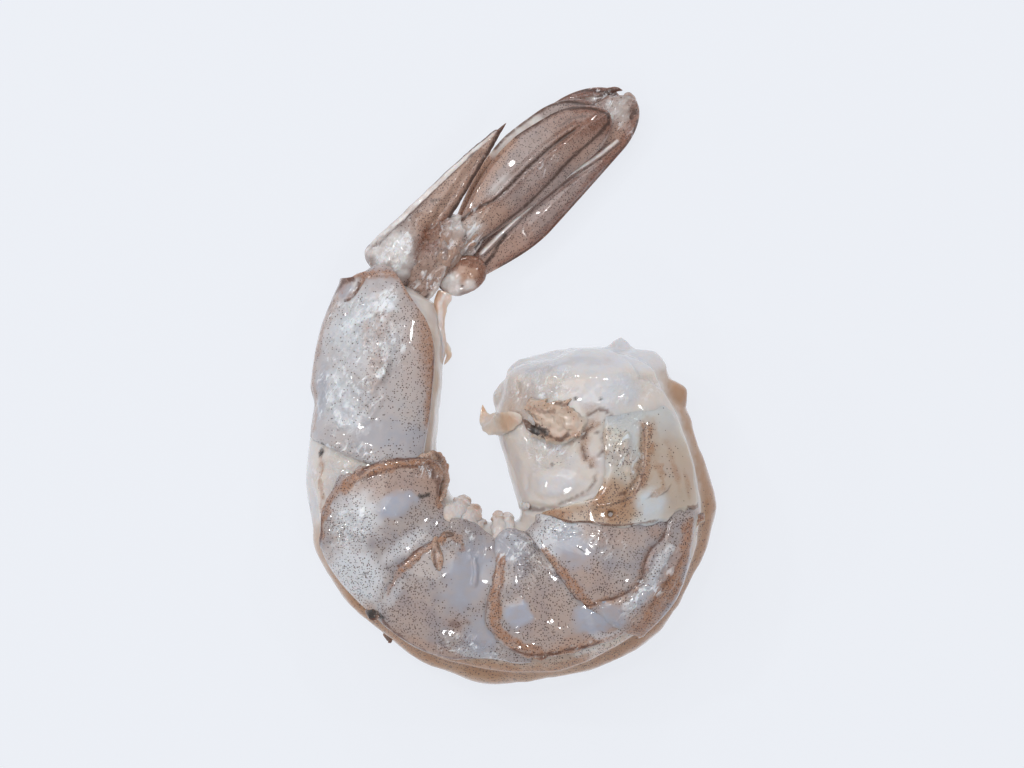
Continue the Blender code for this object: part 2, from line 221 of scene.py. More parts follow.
@dataclass
class Curl:
    """The bent body: a back line, a belly line and the rounded section between them."""

    arc_centre: tuple[float, float] = (0.0, -13.25)
    arc_radius: float = 24.5
    arc_oval: float = 0.75
    arc_oval_angle: float = -19.0
    arc_first: float = -5.6
    arc_step: float = -22.6
    arc_stations: int = 9
    neck_back: Path = ((19.2, 1.8), (22.5, -5.4))
    tail_back: Path = ((-23.6, -2.0), (-22.7, 6.1), (-19.2, 13.6))
    belly: tuple[tuple[float, float, float], ...] = (
        (-0.9, 0.9, 7.7), (-1.6, -5.2, 8.2), (0.5, -13.9, 8.4), (1.4, -16.0, 8.4),
        (0.5, -17.0, 8.3), (-1.3, -17.3, 8.1), (-3.2, -17.1, 7.9), (-5.6, -15.9, 7.6),
        (-7.8, -14.0, 7.2), (-9.0, -11.8, 6.9), (-9.4, -8.7, 6.5), (-9.0, -2.0, 6.1),
        (-8.3, 4.8, 5.6), (-10.0, 9.8, 4.7),
    )
    last_station: float = 13.0
    floor: float = 1.3
    side_flattening: float = 0.93
    section_back: float = 0.9
    section_side: float = 0.82
    swell: float = 0.35
    furrow_angle: float = 18.0
    furrow_width: float = 9.0
    furrow_depth: float = 1.1
    furrow_end: tuple[float, float] = (9.4, 10.0)
    neck_dome: float = 3.0
    tail_dome: float = 1.0
    neck_slant: float = 1.3
    slant_end: float = 1.5
    station_step: float = 0.04
    angle_step: float = 3.0
    back_rows: Array = field(init=False)
    belly_rows: Array = field(init=False)

    def __post_init__(self) -> None:
        """Work out the table of the back line."""
        angle = np.radians(self.arc_first + self.arc_step * np.arange(self.arc_stations))
        oval = np.cos(2 * (angle - math.radians(self.arc_oval_angle)))
        radius = self.arc_radius + self.arc_oval * oval
        arc = np.column_stack([np.cos(angle), np.sin(angle)]) * radius[:, None] + self.arc_centre
        self.back_rows = np.vstack([self.neck_back, arc, self.tail_back])
        self.belly_rows = np.array(self.belly)

    def flesh(self, station: Array, angle: Array, share: Array = 1.0, dome: Array = 0.0) -> Array:
        """Place points on the muscle.

        Args:
            station: Place along the body, 0 at the neck cut and 13 at the tail.
            angle: Degrees round the section: 0 at the back, 90 on the upper flank.
            share: Share of the section's size, less than 1 on an end cap.
            dome: Share of the end cap's bulge.

        Returns:
            The points in mm.
        """
        arrays = (np.asarray(value, float) for value in (station, angle, share, dome))
        station, angle, share, dome = np.broadcast_arrays(*arrays)
        back, belly = along(self.back_rows, station), along(self.belly_rows, station)
        half_width = belly[:, 2]
        middle, reach = (back + belly[:, :2]) / 2, (back - belly[:, :2]) / 2
        half_depth = np.linalg.norm(reach, axis=1)
        outward = reach / half_depth[:, None]
        across = signed_power(np.cos(np.radians(angle)), self.section_back)
        aside = signed_power(np.sin(np.radians(angle)), self.section_side)
        swell = self.swell * np.sin(math.pi * station / 2) ** 2
        furrow = np.exp(-(((angle - self.furrow_angle) / self.furrow_width) ** 2)) * self.furrow_depth
        furrow = furrow * (1 - smooth(*self.furrow_end, station))
        flat = middle + outward * (across * (half_depth + swell - furrow) * share)[:, None]
        height = self.floor + half_width * self.side_flattening + aside * (half_width + swell) * share
        ahead = np.column_stack([-outward[:, 1], outward[:, 0]])
        step = along(self.back_rows, station + 0.05) - back
        ahead = np.where((step * ahead).sum(1)[:, None] > 0, -ahead, ahead)
        slant = self.neck_slant * (1 - smooth(0.0, self.slant_end, station))
        at_neck = dome * self.neck_dome - slant * aside * share
        push = np.where(station < self.last_station / 2, at_neck, -dome * self.tail_dome)
        flat = flat + ahead * push[:, None] + ORIGIN_SHIFT
        return np.column_stack([flat, np.maximum(height, self.floor)])

    def normal(self, station: Array, angle: Array) -> Array:
        """Find which way the muscle's surface faces.

        Args:
            station: Places along the body.
            angle: Degrees round the section.

        Returns:
            One outward unit vector for each place.
        """
        step, turn = self.station_step, self.angle_step
        ahead = self.flesh(station + step, angle) - self.flesh(station - step, angle)
        round_body = self.flesh(station, angle + turn) - self.flesh(station, angle - turn)
        normal = np.cross(round_body, ahead)
        normal /= np.maximum(np.linalg.norm(normal, axis=1), TINY)[:, None]
        outward = self.flesh(station, angle) - self.flesh(station, angle, share=0.0)
        return np.where((normal * outward).sum(1)[:, None] < 0, -normal, normal)

    def chart(self, side: int) -> Chart:
        """The map from station and angle to a point, on the upper (1) or lower (-1) flank."""
        return lambda station, angle: self.flesh(station, side * angle)


CURL = Curl()


# Marks: what is drawn on a piece, and what rises from it


class Layer(Enum):
    """What a skin carries at its points. Each is one mesh attribute between 0 and 1."""

    SPECKS = "specks"
    RIM = "rim"
    LINE = "line"
    SOOT = "soot"
    # Milk is pale milky skin, and in places a painted reflection or highlight: pale ovals and white lines
    # where the wet film mirrors the light.
    MILK = "milk"
    TAN = "tan"
    CLEAR = "clear"
    # Crinkle raises fine folds, and it also places the painted white highlight flecks.
    CRINKLE = "crinkle"
    # Shine marks where white smears of painted highlight go.
    SHINE = "shine"


def on_chart(chart: Chart, path: tuple[float, ...], steps: int = 6) -> Array:
    """Draw a smooth line through places on a piece.

    Args:
        chart: The piece's map from two coordinates to a point.
        path: The places, two coordinates each.
        steps: Short steps between two places.

    Returns:
        The line's points in mm.
    """
    rows = np.array(path, float).reshape(-1, 2)
    rows = along(rows, np.linspace(0, len(rows) - 1, (len(rows) - 1) * steps + 1))
    return chart(*rows.T)


@dataclass(frozen=True)
class Stroke:
    """A line on a piece, with its half width, its fading edge and how ragged that edge is.

    The path holds the two coordinates of each place in turn.
    """

    path: tuple[float, ...]
    width: float
    soft: float = 0.3
    strength: float = 1.0
    ragged: float = 0.15

    def cover(self, chart: Chart, points: Array) -> Array:
        """How much of the stroke lies at each point, from 0 to its strength."""
        gap = line_distance(points, on_chart(chart, self.path), self.width + self.soft + self.ragged)
        seed = len(self.path) // 2
        gap += self.ragged * summed((Waves(1.0, 0.7, seed), Waves(0.6, 0.28, seed + 3)), points)
        return self.strength * (1 - smooth(self.width, self.width + self.soft, gap))


@dataclass(frozen=True)
class Patch:
    """An oval on a piece: its centre on the chart, its half sizes in mm, and its edge."""

    first: float
    second: float
    half_length: float
    half_width: float
    soft: float = 0.4
    strength: float = 1.0
    ragged: float = 0.12
    turn: float = 0.0
    edge_waves: Waves = Waves(1.0, 0.9, 5)

    def cover(self, chart: Chart, points: Array) -> Array:
        """How much of the oval lies at each point, from 0 to its strength."""
        first, second = self.first, self.second
        beside = (first, first + CENTRE_STEP, first), (second, second, second + CENTRE_STEP)
        near = chart(*np.array(beside))
        ahead = (near[1] - near[0]) / np.linalg.norm(near[1] - near[0])
        aside = near[2] - near[0] - ahead * (near[2] - near[0]).dot(ahead)
        aside /= max(np.linalg.norm(aside), TINY)
        turn = math.radians(self.turn)
        long_way = ahead * math.cos(turn) + aside * math.sin(turn)
        short_way = aside * math.cos(turn) - ahead * math.sin(turn)
        offset = points - near[0]
        out = offset @ np.cross(ahead, aside) / (2 * max(self.half_length, self.half_width))
        shape = [offset @ long_way / self.half_length, offset @ short_way / self.half_width, out]
        reach = np.linalg.norm(shape, axis=0) + self.edge_waves.at(points) * self.ragged
        return self.strength * (1 - smooth(1 - self.soft / 2, 1 + self.soft / 2, reach))


@dataclass(frozen=True)
class Spot:
    """A round bump at a place in mm, on a piece's outline."""

    place: tuple[float, float, float]
    radius: float
    edge_waves: Waves = Waves(0.25, 0.9, 7)

    def cover(self, chart: Chart, points: Array) -> Array:
        """How much of the bump lies at each point."""
        gap = np.linalg.norm(points - self.place - SHIFT, axis=1)
        return 1 - smooth(0.0, self.radius, gap + self.edge_waves.at(points))


Mark = Stroke | Patch | Spot
Paint = dict[Layer, tuple[Mark, ...]]
Relief = tuple[tuple[float, Mark], ...]
Layers = dict[Layer, Array]


def coats(**marks: tuple[Mark, ...]) -> Paint:
    """Give each pigment its marks, by the pigment's name."""
    return {Layer(name): found for name, found in marks.items()}


def painted(paint: Paint, chart: Chart, points: Array) -> Layers:
    """Add up the marks of each pigment.

    Args:
        paint: Marks by pigment.
        chart: The piece's map.
        points: The piece's points.

    Returns:
        One value between 0 and 1 for each point, by pigment.
    """
    layers = {}
    for pigment in Layer:
        clear = np.ones(len(points))
        for mark in paint.get(pigment, ()):
            clear *= 1 - np.clip(mark.cover(chart, points), 0.0, 1.0)
        layers[pigment] = 1 - clear
    return layers


def raised(relief: Relief, chart: Chart, points: Array) -> Array:
    """Add up the heights of folds and bulges.

    Args:
        relief: Height in mm and mark, for each one.
        chart: The piece's map.
        points: The piece's points.

    Returns:
        One height in mm for each point.
    """
    return sum((height * mark.cover(chart, points) for height, mark in relief), np.zeros(len(points)))


# Meshes


def mesh_of(name: str, points: Array, faces: list[list[int]], layers: Layers) -> bpy.types.Mesh:
    """Make a smooth closed mesh that carries its layers.

    Args:
        name: The mesh's name.
        points: Its points in mm.
        faces: Its faces, as indices of points.
        layers: The layers' values at the points.

    Returns:
        The mesh, with its faces turned outward.
    """
    mesh = bpy.data.meshes.new(name)
    mesh.from_pydata((points * MM).tolist(), [], faces)
    solid = bmesh.new()
    solid.from_mesh(mesh)
    if solid.calc_volume(signed=True) < 0:
        bmesh.ops.reverse_faces(solid, faces=solid.faces)
        solid.to_mesh(mesh)
    solid.free()
    mesh.shade_smooth()
    for kind, values in layers.items():
        layer = mesh.attributes.new(kind.value, "FLOAT", "POINT")
        layer.data.foreach_set("value", values.astype(np.float32))
    return mesh


def grid_faces(index: Array) -> Array:
    """The four-sided faces between the rows and columns of a grid of point numbers."""
    corners = (index[:-1, :-1], index[:-1, 1:], index[1:, 1:], index[1:, :-1])
    return np.stack(corners, axis=-1).reshape(-1, 4)


def surface_normals(grid: Array) -> Array:
    """Find which way a closed tube of points faces, from its neighbours.

    Args:
        grid: Rings of points, ring by ring.

    Returns:
        One outward unit vector for each point, in the same order.
    """
    along_tube = np.gradient(grid, axis=0)
    round_tube = np.roll(grid, -1, axis=1) - np.roll(grid, 1, axis=1)
    normal = np.cross(along_tube, round_tube)
    normal /= np.maximum(np.linalg.norm(normal, axis=2), TINY)[..., None]
    outward = grid - grid.mean(axis=1, keepdims=True)
    return np.where((normal * outward).sum() < 0, -normal, normal).reshape(-1, 3)


def tube_mesh(name: str, points: Array, sides: int, tips: Array, layers: Layers) -> bpy.types.Mesh:
    """Close a tube of points with a tip at each end.

    Args:
        name: The mesh's name.
        points: The tube's points, ring by ring.
        sides: Points in a ring.
        tips: The first and the last tip.
        layers: The layers' values at the points.

    Returns:
        The mesh.
    """
    count = len(points)
    index = np.arange(count).reshape(-1, sides)
    faces = grid_faces(np.column_stack([index, index[:, :1]])).tolist()
    for tip, edge in ((count, index[0]), (count + 1, index[-1][::-1])):
        faces += np.column_stack([np.full(sides, tip), np.roll(edge, -1), edge]).tolist()
    layers = {key: np.append(values, [values[0], values[-1]]) for key, values in layers.items()}
    return mesh_of(name, np.vstack([points, tips]), faces, layers)


def sheet_mesh(name: str, outer: Array, inner: Array, columns: int, layers: Layers) -> bpy.types.Mesh:
    """Close a thin sheet: its outer side, its inner side and the edge between them.

    Args:
        name: The mesh's name.
        outer: Points of the outer side, row by row.
        inner: Points of the inner side in the same order.
        columns: Points in a row.
        layers: The layers' values at the points of one side.

    Returns:
        The mesh.
    """
    count = len(outer)
    index = np.arange(count).reshape(-1, columns)
    side = grid_faces(index)
    border = np.concatenate([index[0], index[1:, -1], index[-1, -2::-1], index[-2:0:-1, 0]])
    ahead = np.roll(border, -1)
    edge = np.column_stack([ahead, border, border + count, ahead + count])
    faces = np.vstack([side, side[:, ::-1] + count, edge]).tolist()
    layers = {key: np.concatenate([values, values]) for key, values in layers.items()}
    return mesh_of(name, np.vstack([outer, inner]), faces, layers)


def shell_sides(
    base: Array, normal: Array, edge: Array, rise: Array, thickness: float
) -> tuple[Array, Array]:
    """Give a plate its thickness and its relief, thin at the edge and above the floor.

    Args:
        base: Points that the plate starts from.
        normal: Which way it faces at each.
        edge: Share from 0 at the edge to 1.
        rise: Height of the relief in mm.
        thickness: The plate's thickness in mm.

    Returns:
        The outer and the inner side.
    """
    outer = base + normal * (thickness * (THIN_EDGE + (1 - THIN_EDGE) * edge) + rise * edge)[:, None]
    inner = base + normal * (rise * edge * INNER_RELIEF)[:, None]
    inner[:, 2] = np.maximum(inner[:, 2], thickness)
    outer[:, 2] = np.maximum(outer[:, 2], FLOOR_GAP)
    return outer, inner


def edge_share(rows: int, columns: int, size: tuple[float, float]) -> Array:
    """How far in from a sheet's edge each point lies, from 0 at the edge to 1.

    Args:
        rows: Points along the sheet.
        columns: Points across it.
        size: The sheet's length and width in mm.

    Returns:
        One share for each point, row by row.
    """
    length, width = (np.linspace(0, 1, count) for count in (rows, columns))
    from_end = np.minimum(length, 1 - length)[:, None] * size[0]
    from_side = np.minimum(width, 1 - width)[None, :] * size[1]
    return smooth(0.0, EDGE_RUN, np.minimum(from_end, from_side)).reshape(-1)


class Slot(Enum):
    """The record's material slots."""

    FLESH = "flesh"
    SHELL = "shell"
    FAN = "fan"


@dataclass
class Piece:
    """A finished piece: its mesh, the solid that it stands for, its finish and its slot."""

    name: str
    mesh: bpy.types.Mesh
    node: str
    finish: "WetFinish"
    slot: Slot

    def place(self) -> bpy.types.Object:
        """Put the piece in the scene, riding on the body.

        Returns:
            The piece's object.
        """
        made = bpy.data.objects.new(self.name, self.mesh)
        bpy.context.scene.collection.objects.link(made)
        made.data.materials.append(self.finish.material())
        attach(made, BODY)
        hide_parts(self.node)
        LOG.info("%s: %d faces, in place of %s", self.name, len(self.mesh.polygons), self.node)
        return made


# Finishes


def tone(red: int, green: int, blue: int) -> tuple[float, float, float, float]:
    """A colour as seen on a screen, turned into the linear values of a shader.

    Args:
        red: Red from 0 to 255.
        green: Green from 0 to 255.
        blue: Blue from 0 to 255.

    Returns:
        The linear colour, with full opacity.
    """
    shares = (value / 255 for value in (red, green, blue))
    linear = [s / 12.92 if s <= 0.04045 else ((s + 0.055) / 1.055) ** 2.4 for s in shares]
    return (*linear, 1.0)


Tone = tuple[float, float, float, float]
Socket = bpy.types.NodeSocket
Inputs = dict[str | int, Socket | float | Tone]
Sockets = dict[str, Socket]


@dataclass(frozen=True)
class Cloud:
    """Noise cut into a soft mask: its size in mm, and where the mask starts and is full."""

    size: float
    detail: float
    roughness: float
    low: float
    high: float
    stretch: float = 1.0
    gain: float = 1.0
    least: float = 0.0


GROUND_CLOUDS = Cloud(2.6, 3.0, 0.55, 0.35, 0.70)
# Varies the milk, which is partly a painted reflection.
MILK_AND_HIGHLIGHT_VEIL = Cloud(1.3, 3.0, 0.6, 0.3, 0.7, gain=0.5, least=0.55)
RIM_GRAIN = Cloud(0.16, 2.0, 0.7, 0.3, 0.6, gain=0.55, least=0.45)
RIM_MOTTLE = Cloud(0.7, 3.0, 0.6, 0.25, 0.6, gain=0.5, least=0.5)
SOOT_GRAIN = Cloud(0.16, 2.0, 0.7, 0.22, 0.48)
SPECK_CROWDS = Cloud(1.6, 2.0, 0.55, 0.35, 0.65, gain=0.5, least=0.6)
LINE_FIBRE = Cloud(0.45, 3.0, 0.65, 0.20, 0.50)
# These three clouds break the painted highlights into white flecks and white smears.
PAINTED_GLINT_FLECKS = Cloud(0.75, 3.0, 0.6, 0.53, 0.63, stretch=2.0)
PAINTED_GLINT_CLUSTERS = Cloud(2.4, 2.0, 0.55, 0.40, 0.58)
PAINTED_SHINE_BREAKS = Cloud(0.5, 2.0, 0.6, 0.36, 0.56, stretch=2.0)
STRETCH_WARP = 0.7
SPECKLES = ((1.0, 0.30, 0.22), (2.6, 0.10, 0.12))
SPECKLE_CORE = 0.6
SPECKLE_STRENGTH = 0.88
RIM_SPECKS = 0.6
MILK_AND_HIGHLIGHT_CLEARING = 1.3
# Strength of the painted white highlights.
PAINTED_GLINT_STRENGTH = 0.95
RIM_GRIME = 0.5
FINE_FOLDS = 0.4


class Wiring:
    """Short ways to add and join shader nodes in one tree."""

    def __init__(self, tree: bpy.types.NodeTree) -> None:
        """Keep the tree to work in."""
        self.tree = tree

    def feed(self, socket: Socket, value: Socket | float | Tone) -> None:
        """Set an input, or link it where the value is another node's output."""
        if isinstance(value, bpy.types.NodeSocket):
            self.tree.links.new(value, socket)
        else:
            socket.default_value = value

    def node(self, kind: str, inputs: Inputs, **settings: str | bool | bpy.types.NodeTree) -> bpy.types.Node:
        """Add a node.

        Args:
            kind: Blender's name for the node.
            inputs: Values or links for its inputs.
            **settings: Its own settings.

        Returns:
            The node.
        """
        made = self.tree.nodes.new(kind)
        for key, value in settings.items():
            setattr(made, key, value)
        for key, value in inputs.items():
            self.feed(made.inputs[key], value)
        return made

    def maths(self, operation: str, *numbers: Socket | float) -> Socket:
        """One sum of up to three numbers."""
        return self.node("ShaderNodeMath", dict(enumerate(numbers)), operation=operation).outputs[0]

    def times(self, first: Socket, second: Socket | float) -> Socket:
        """Multiply two numbers."""
        return self.maths("MULTIPLY", first, second)

    def mix(self, share: Socket | float, first: Socket | Tone, second: Socket | Tone) -> Socket:
        """Blend two colours by a share."""
        made = self.node("ShaderNodeMix", {"Factor": share}, data_type="RGBA")
        self.feed(made.inputs[6], first)
        self.feed(made.inputs[7], second)
        return made.outputs[2]

    def step(self, value: Socket, low: Socket | float, high: Socket | float) -> Socket:
        """Rise softly from 0 at low to 1 at high."""
        inputs = {"Value": value, "From Min": low, "From Max": high}
        return self.node("ShaderNodeMapRange", inputs, interpolation_type="SMOOTHSTEP").outputs[0]

    def noise(self, size: float, detail: float, roughness: float = 0.55, stretch: float = 1.0) -> Socket:
        """Cloudy noise with features of this size in mm, drawn out along the wrinkles."""
        place = self.node("ShaderNodeTexCoord", {}).outputs["Object"]
        if stretch > 1:
            inputs = {"Vector": place, "Rotation": (0.0, 0.0, WRINKLE_HEADING), "Scale": (stretch, 1.0, 1.0)}
            place = self.node("ShaderNodeMapping", inputs, vector_type="TEXTURE").outputs["Vector"]
        inputs = {"Vector": place, "Scale": 1 / (size * MM), "Detail": detail, "Roughness": roughness}
        inputs["Distortion"] = STRETCH_WARP * (stretch - 1)
        return self.node("ShaderNodeTexNoise", inputs).outputs["Fac"]

    def mask(self, cloud: Cloud) -> Socket:
        """Cut cloudy noise into a soft mask."""
        noise = self.noise(cloud.size, cloud.detail, cloud.roughness, cloud.stretch)
        share = self.step(noise, cloud.low, cloud.high)
        return self.maths("MULTIPLY_ADD", share, cloud.gain, cloud.least) if cloud.least else share

    def layer(self, pigment: Layer) -> Socket:
        """Read a pigment from the mesh."""
        return self.node("ShaderNodeAttribute", {}, attribute_name=pigment.value).outputs["Fac"]


def new_group(name: str, inputs: dict[str, str], outputs: dict[str, str]) -> tuple[Wiring, Sockets, Sockets]:
    """Start a node group with named sockets.

    Args:
        name: The group's name.
        inputs: Socket types by name.
        outputs: Socket types by name.

    Returns:
        The group's wiring, its inputs as outputs to link from, and the sockets to feed.
    """
    tree = bpy.data.node_groups.new(name, "ShaderNodeTree")
    for label, kind in inputs.items():
        tree.interface.new_socket(label, in_out="INPUT", socket_type=kind)
    for label, kind in outputs.items():
        tree.interface.new_socket(label, in_out="OUTPUT", socket_type=kind)
    entry = tree.nodes.new("NodeGroupInput")
    leave = tree.nodes.new("NodeGroupOutput")
    given = {key: entry.outputs[key] for key in inputs}
    return Wiring(tree), given, {key: leave.inputs[key] for key in outputs}


FLOAT, COLOUR = "NodeSocketFloat", "NodeSocketColor"
PIGMENTS = ("Ground", "Cloud", "Speck", "Rim", "Line", "Soot", "Milk", "Tan", "Clear", "Painted_glint")


def speckle_group() -> bpy.types.NodeTree:
    """The dots of pigment that prawn skin carries, small ones thick and large ones thin.

    Returns:
        The group. Density thins the dots out, Spacing is in mm, Dots is 1 on a dot.
    """
    if found := bpy.data.node_groups.get("speckles"):
        return found
    wiring, given, out = new_group("speckles", {"Density": FLOAT, "Spacing": FLOAT}, {"Dots": FLOAT})
    place = wiring.node("ShaderNodeTexCoord", {}).outputs["Object"]
    total: Socket | float = 0.0
    for spacing, smallest, spread in SPECKLES:
        scale = wiring.maths("DIVIDE", 1 / (spacing * MM), given["Spacing"])
        cells = wiring.node("ShaderNodeTexVoronoi", {"Vector": place, "Scale": scale})
        lot = wiring.node("ShaderNodeSeparateColor", {"Color": cells.outputs["Color"]})
        radius = wiring.maths("MULTIPLY_ADD", lot.outputs["Red"], spread, smallest)
        inner = wiring.times(radius, SPECKLE_CORE)
        dot = wiring.maths("SUBTRACT", 1.0, wiring.step(cells.outputs["Distance"], inner, radius))
        kept = wiring.maths("LESS_THAN", lot.outputs["Green"], given["Density"])
        total = wiring.maths("MAXIMUM", total, wiring.times(dot, kept))
    wiring.feed(out["Dots"], total)
    return wiring.tree


def pigment_group() -> bpy.types.NodeTree:
    """Lay the pigments over a ground colour, with painted highlights and painted reflections among them.

    Returns:
        The group. It reads the mesh's layers and gives the mixed colour and how dry it is.
    """
    if found := bpy.data.node_groups.get("pigments"):
        return found
    inputs = {name: COLOUR for name in PIGMENTS} | {"Spacing": FLOAT}
    wiring, given, out = new_group("pigments", inputs, {"Colour": COLOUR, "Grime": FLOAT})
    stipple = wiring.times(wiring.mask(RIM_GRAIN), wiring.mask(RIM_MOTTLE))
    milk, rim = wiring.layer(Layer.MILK), wiring.times(wiring.layer(Layer.RIM), stipple)
    crowd = wiring.maths("MULTIPLY_ADD", rim, RIM_SPECKS, wiring.layer(Layer.SPECKS))
    crowd = wiring.times(crowd, wiring.mask(SPECK_CROWDS))
    speckles = wiring.node("ShaderNodeGroup", {}, node_tree=speckle_group())
    density = wiring.maths("SUBTRACT", crowd, wiring.times(milk, MILK_AND_HIGHLIGHT_CLEARING))
    wiring.feed(speckles.inputs["Density"], density)
    wiring.feed(speckles.inputs["Spacing"], given["Spacing"])
    soot = wiring.times(wiring.layer(Layer.SOOT), wiring.mask(SOOT_GRAIN))
    # Painted highlights: white flecks where the skin crinkles, and white smears along the shine strokes.
    glint_clusters = wiring.times(wiring.mask(PAINTED_GLINT_CLUSTERS), wiring.layer(Layer.CRINKLE))
    painted_smears = wiring.times(wiring.mask(PAINTED_SHINE_BREAKS), wiring.layer(Layer.SHINE))
    painted_glint = wiring.maths("MAXIMUM", wiring.times(wiring.mask(PAINTED_GLINT_FLECKS), glint_clusters), painted_smears)
    coats = {
        "Cloud": wiring.mask(GROUND_CLOUDS),
        "Tan": wiring.layer(Layer.TAN),
        "Clear": wiring.layer(Layer.CLEAR),
        "Milk": wiring.times(milk, wiring.mask(MILK_AND_HIGHLIGHT_VEIL)),
        "Rim": rim,
        "Speck": wiring.times(speckles.outputs["Dots"], SPECKLE_STRENGTH),
        "Line": wiring.times(wiring.layer(Layer.LINE), wiring.mask(LINE_FIBRE)),
        "Soot": soot,
        "Painted_glint": wiring.times(painted_glint, PAINTED_GLINT_STRENGTH),
    }
    colour = given["Ground"]
    for label, share in coats.items():
        colour = wiring.mix(share, colour, given[label])
    wiring.feed(out["Colour"], colour)
    wiring.feed(out["Grime"], wiring.maths("MAXIMUM", soot, wiring.times(rim, RIM_GRIME)))
    return wiring.tree


def film_group() -> bpy.types.NodeTree:
    """The fine unevenness of a wet skin.

    Returns:
        The group. It gives a height in mm from soft waves, fine grain and crinkles, each with a weight.
    """
    if found := bpy.data.node_groups.get("wet_film"):
        return found
    inputs = {"Waves": FLOAT, "Grain": FLOAT, "Crinkle": FLOAT}
    wiring, given, out = new_group("wet_film", inputs, {"Height": FLOAT})
    waves = wiring.times(wiring.noise(size=1.1, detail=2.0), given["Waves"])
    grain = wiring.times(wiring.noise(size=0.22, detail=2.0), given["Grain"])
    folds, fine = (
        wiring.maths("ABSOLUTE", wiring.maths("SUBTRACT", noise, 0.5))
        for noise in (
            wiring.noise(size=0.8, detail=3.0, roughness=0.7, stretch=1.8),
            wiring.noise(size=0.38, detail=2.0, roughness=0.6),
        )
    )
    folds = wiring.maths("MULTIPLY_ADD", fine, FINE_FOLDS, folds)
    depth = wiring.times(wiring.layer(Layer.CRINKLE), given["Crinkle"])
    total = wiring.maths("MULTIPLY_ADD", folds, depth, wiring.maths("ADD", waves, grain))
    wiring.feed(out["Height"], total)
    return wiring.tree


@dataclass(frozen=True)
class WetFinish:
    """A wet, slightly translucent skin. Colours are as seen on a screen; the near-white glint colour is a
    painted highlight.
    """

    name: str
    ground: tuple[int, int, int]
    cloud: tuple[int, int, int]
    # The milk colour serves pale milky skin and also painted reflections and highlight lines.
    milk: tuple[int, int, int] = (196, 200, 212)
    tan: tuple[int, int, int] = (196, 164, 140)
    clear: tuple[int, int, int] = (176, 172, 178)
    rim: tuple[int, int, int] = (158, 102, 68)
    line: tuple[int, int, int] = (98, 60, 42)
    speck: tuple[int, int, int] = (84, 64, 58)
    soot: tuple[int, int, int] = (44, 34, 28)
    # Near-white colour of the painted highlights.
    painted_glint: tuple[int, int, int] = (254, 252, 253)
    spacing: float = 0.42
    roughness: float = 0.42
    coat: float = 1.0
    coat_roughness: float = 0.06
    depth: float = 0.35
    depth_reach: float = 1.0
    waves: float = 0.05
    grain: float = 0.012
    crinkle: float = 0.6
    index: float = 1.38
    coat_index: float = 1.5
    grime_roughness: float = 0.25
    depth_colour: tuple[float, float, float] = (1.0, 0.62, 0.45)

    def material(self) -> bpy.types.Material:
        """Build the finish once.

        Returns:
            The material, shared by all pieces with this finish.
        """
        if found := bpy.data.materials.get(self.name):
            return found
        made = bpy.data.materials.new(self.name)
        made.use_nodes = True
        wiring = Wiring(made.node_tree)
        shader = made.node_tree.nodes["Principled BSDF"]
        pigments = wiring.node("ShaderNodeGroup", {}, node_tree=pigment_group())
        for label in PIGMENTS:
            pigments.inputs[label].default_value = tone(*getattr(self, label.lower()))
        pigments.inputs["Spacing"].default_value = self.spacing
        film = wiring.node("ShaderNodeGroup", {}, node_tree=film_group())
        for label in ("Waves", "Grain", "Crinkle"):
            film.inputs[label].default_value = getattr(self, label.lower())
        inputs = {"Height": film.outputs["Height"], "Distance": MM, "Strength": 1.0}
        bump = wiring.node("ShaderNodeBump", inputs)
        rough = wiring.maths("MULTIPLY_ADD", pigments.outputs["Grime"], self.grime_roughness, self.roughness)
        settings = {
            "Base Color": pigments.outputs["Colour"],
            "Roughness": rough,
            "Normal": bump.outputs["Normal"],
            "IOR": self.index,
            "Coat Weight": self.coat,
            "Coat Roughness": self.coat_roughness,
            "Coat IOR": self.coat_index,
            "Subsurface Weight": self.depth,
            "Subsurface Radius": self.depth_colour,
            "Subsurface Scale": self.depth_reach * MM,
        }
        for label, value in settings.items():
            wiring.feed(shader.inputs[label], value)
        return made


FLESH_FINISH = WetFinish(
    "wet_flesh", (223, 212, 202), (214, 206, 203),
    milk=(214, 216, 222), tan=(182, 145, 115), rim=(166, 116, 78),
    depth=0.5, depth_reach=2.0, waves=0.12, grain=0.008, spacing=0.25,
)
SHELL_FINISH = WetFinish(
    "wet_shell", (179, 165, 159), (157, 149, 151),
    milk=(172, 174, 186), clear=(219, 217, 219), tan=(186, 150, 128), rim=(168, 116, 78),
    line=(96, 56, 38), speck=(76, 52, 42), spacing=0.24,
)
FAN_FINISH = WetFinish(
    "tail_fan", (168, 147, 139), (150, 131, 124),
    # The fan's near-white milk paints the highlight lines along ridges and edges.
    milk=(236, 230, 226), tan=(182, 142, 117), rim=(122, 70, 44),
    line=(70, 42, 28), speck=(66, 44, 36), spacing=0.21, waves=0.07,
)
SHRED_FINISH = WetFinish(
    "torn_membrane", (222, 205, 194), (208, 184, 168),
    milk=(226, 222, 222), tan=(200, 160, 130), rim=(164, 118, 86),
    line=(92, 62, 46), waves=0.10, grain=0.02, depth=0.6, spacing=0.27,
)


# The muscle


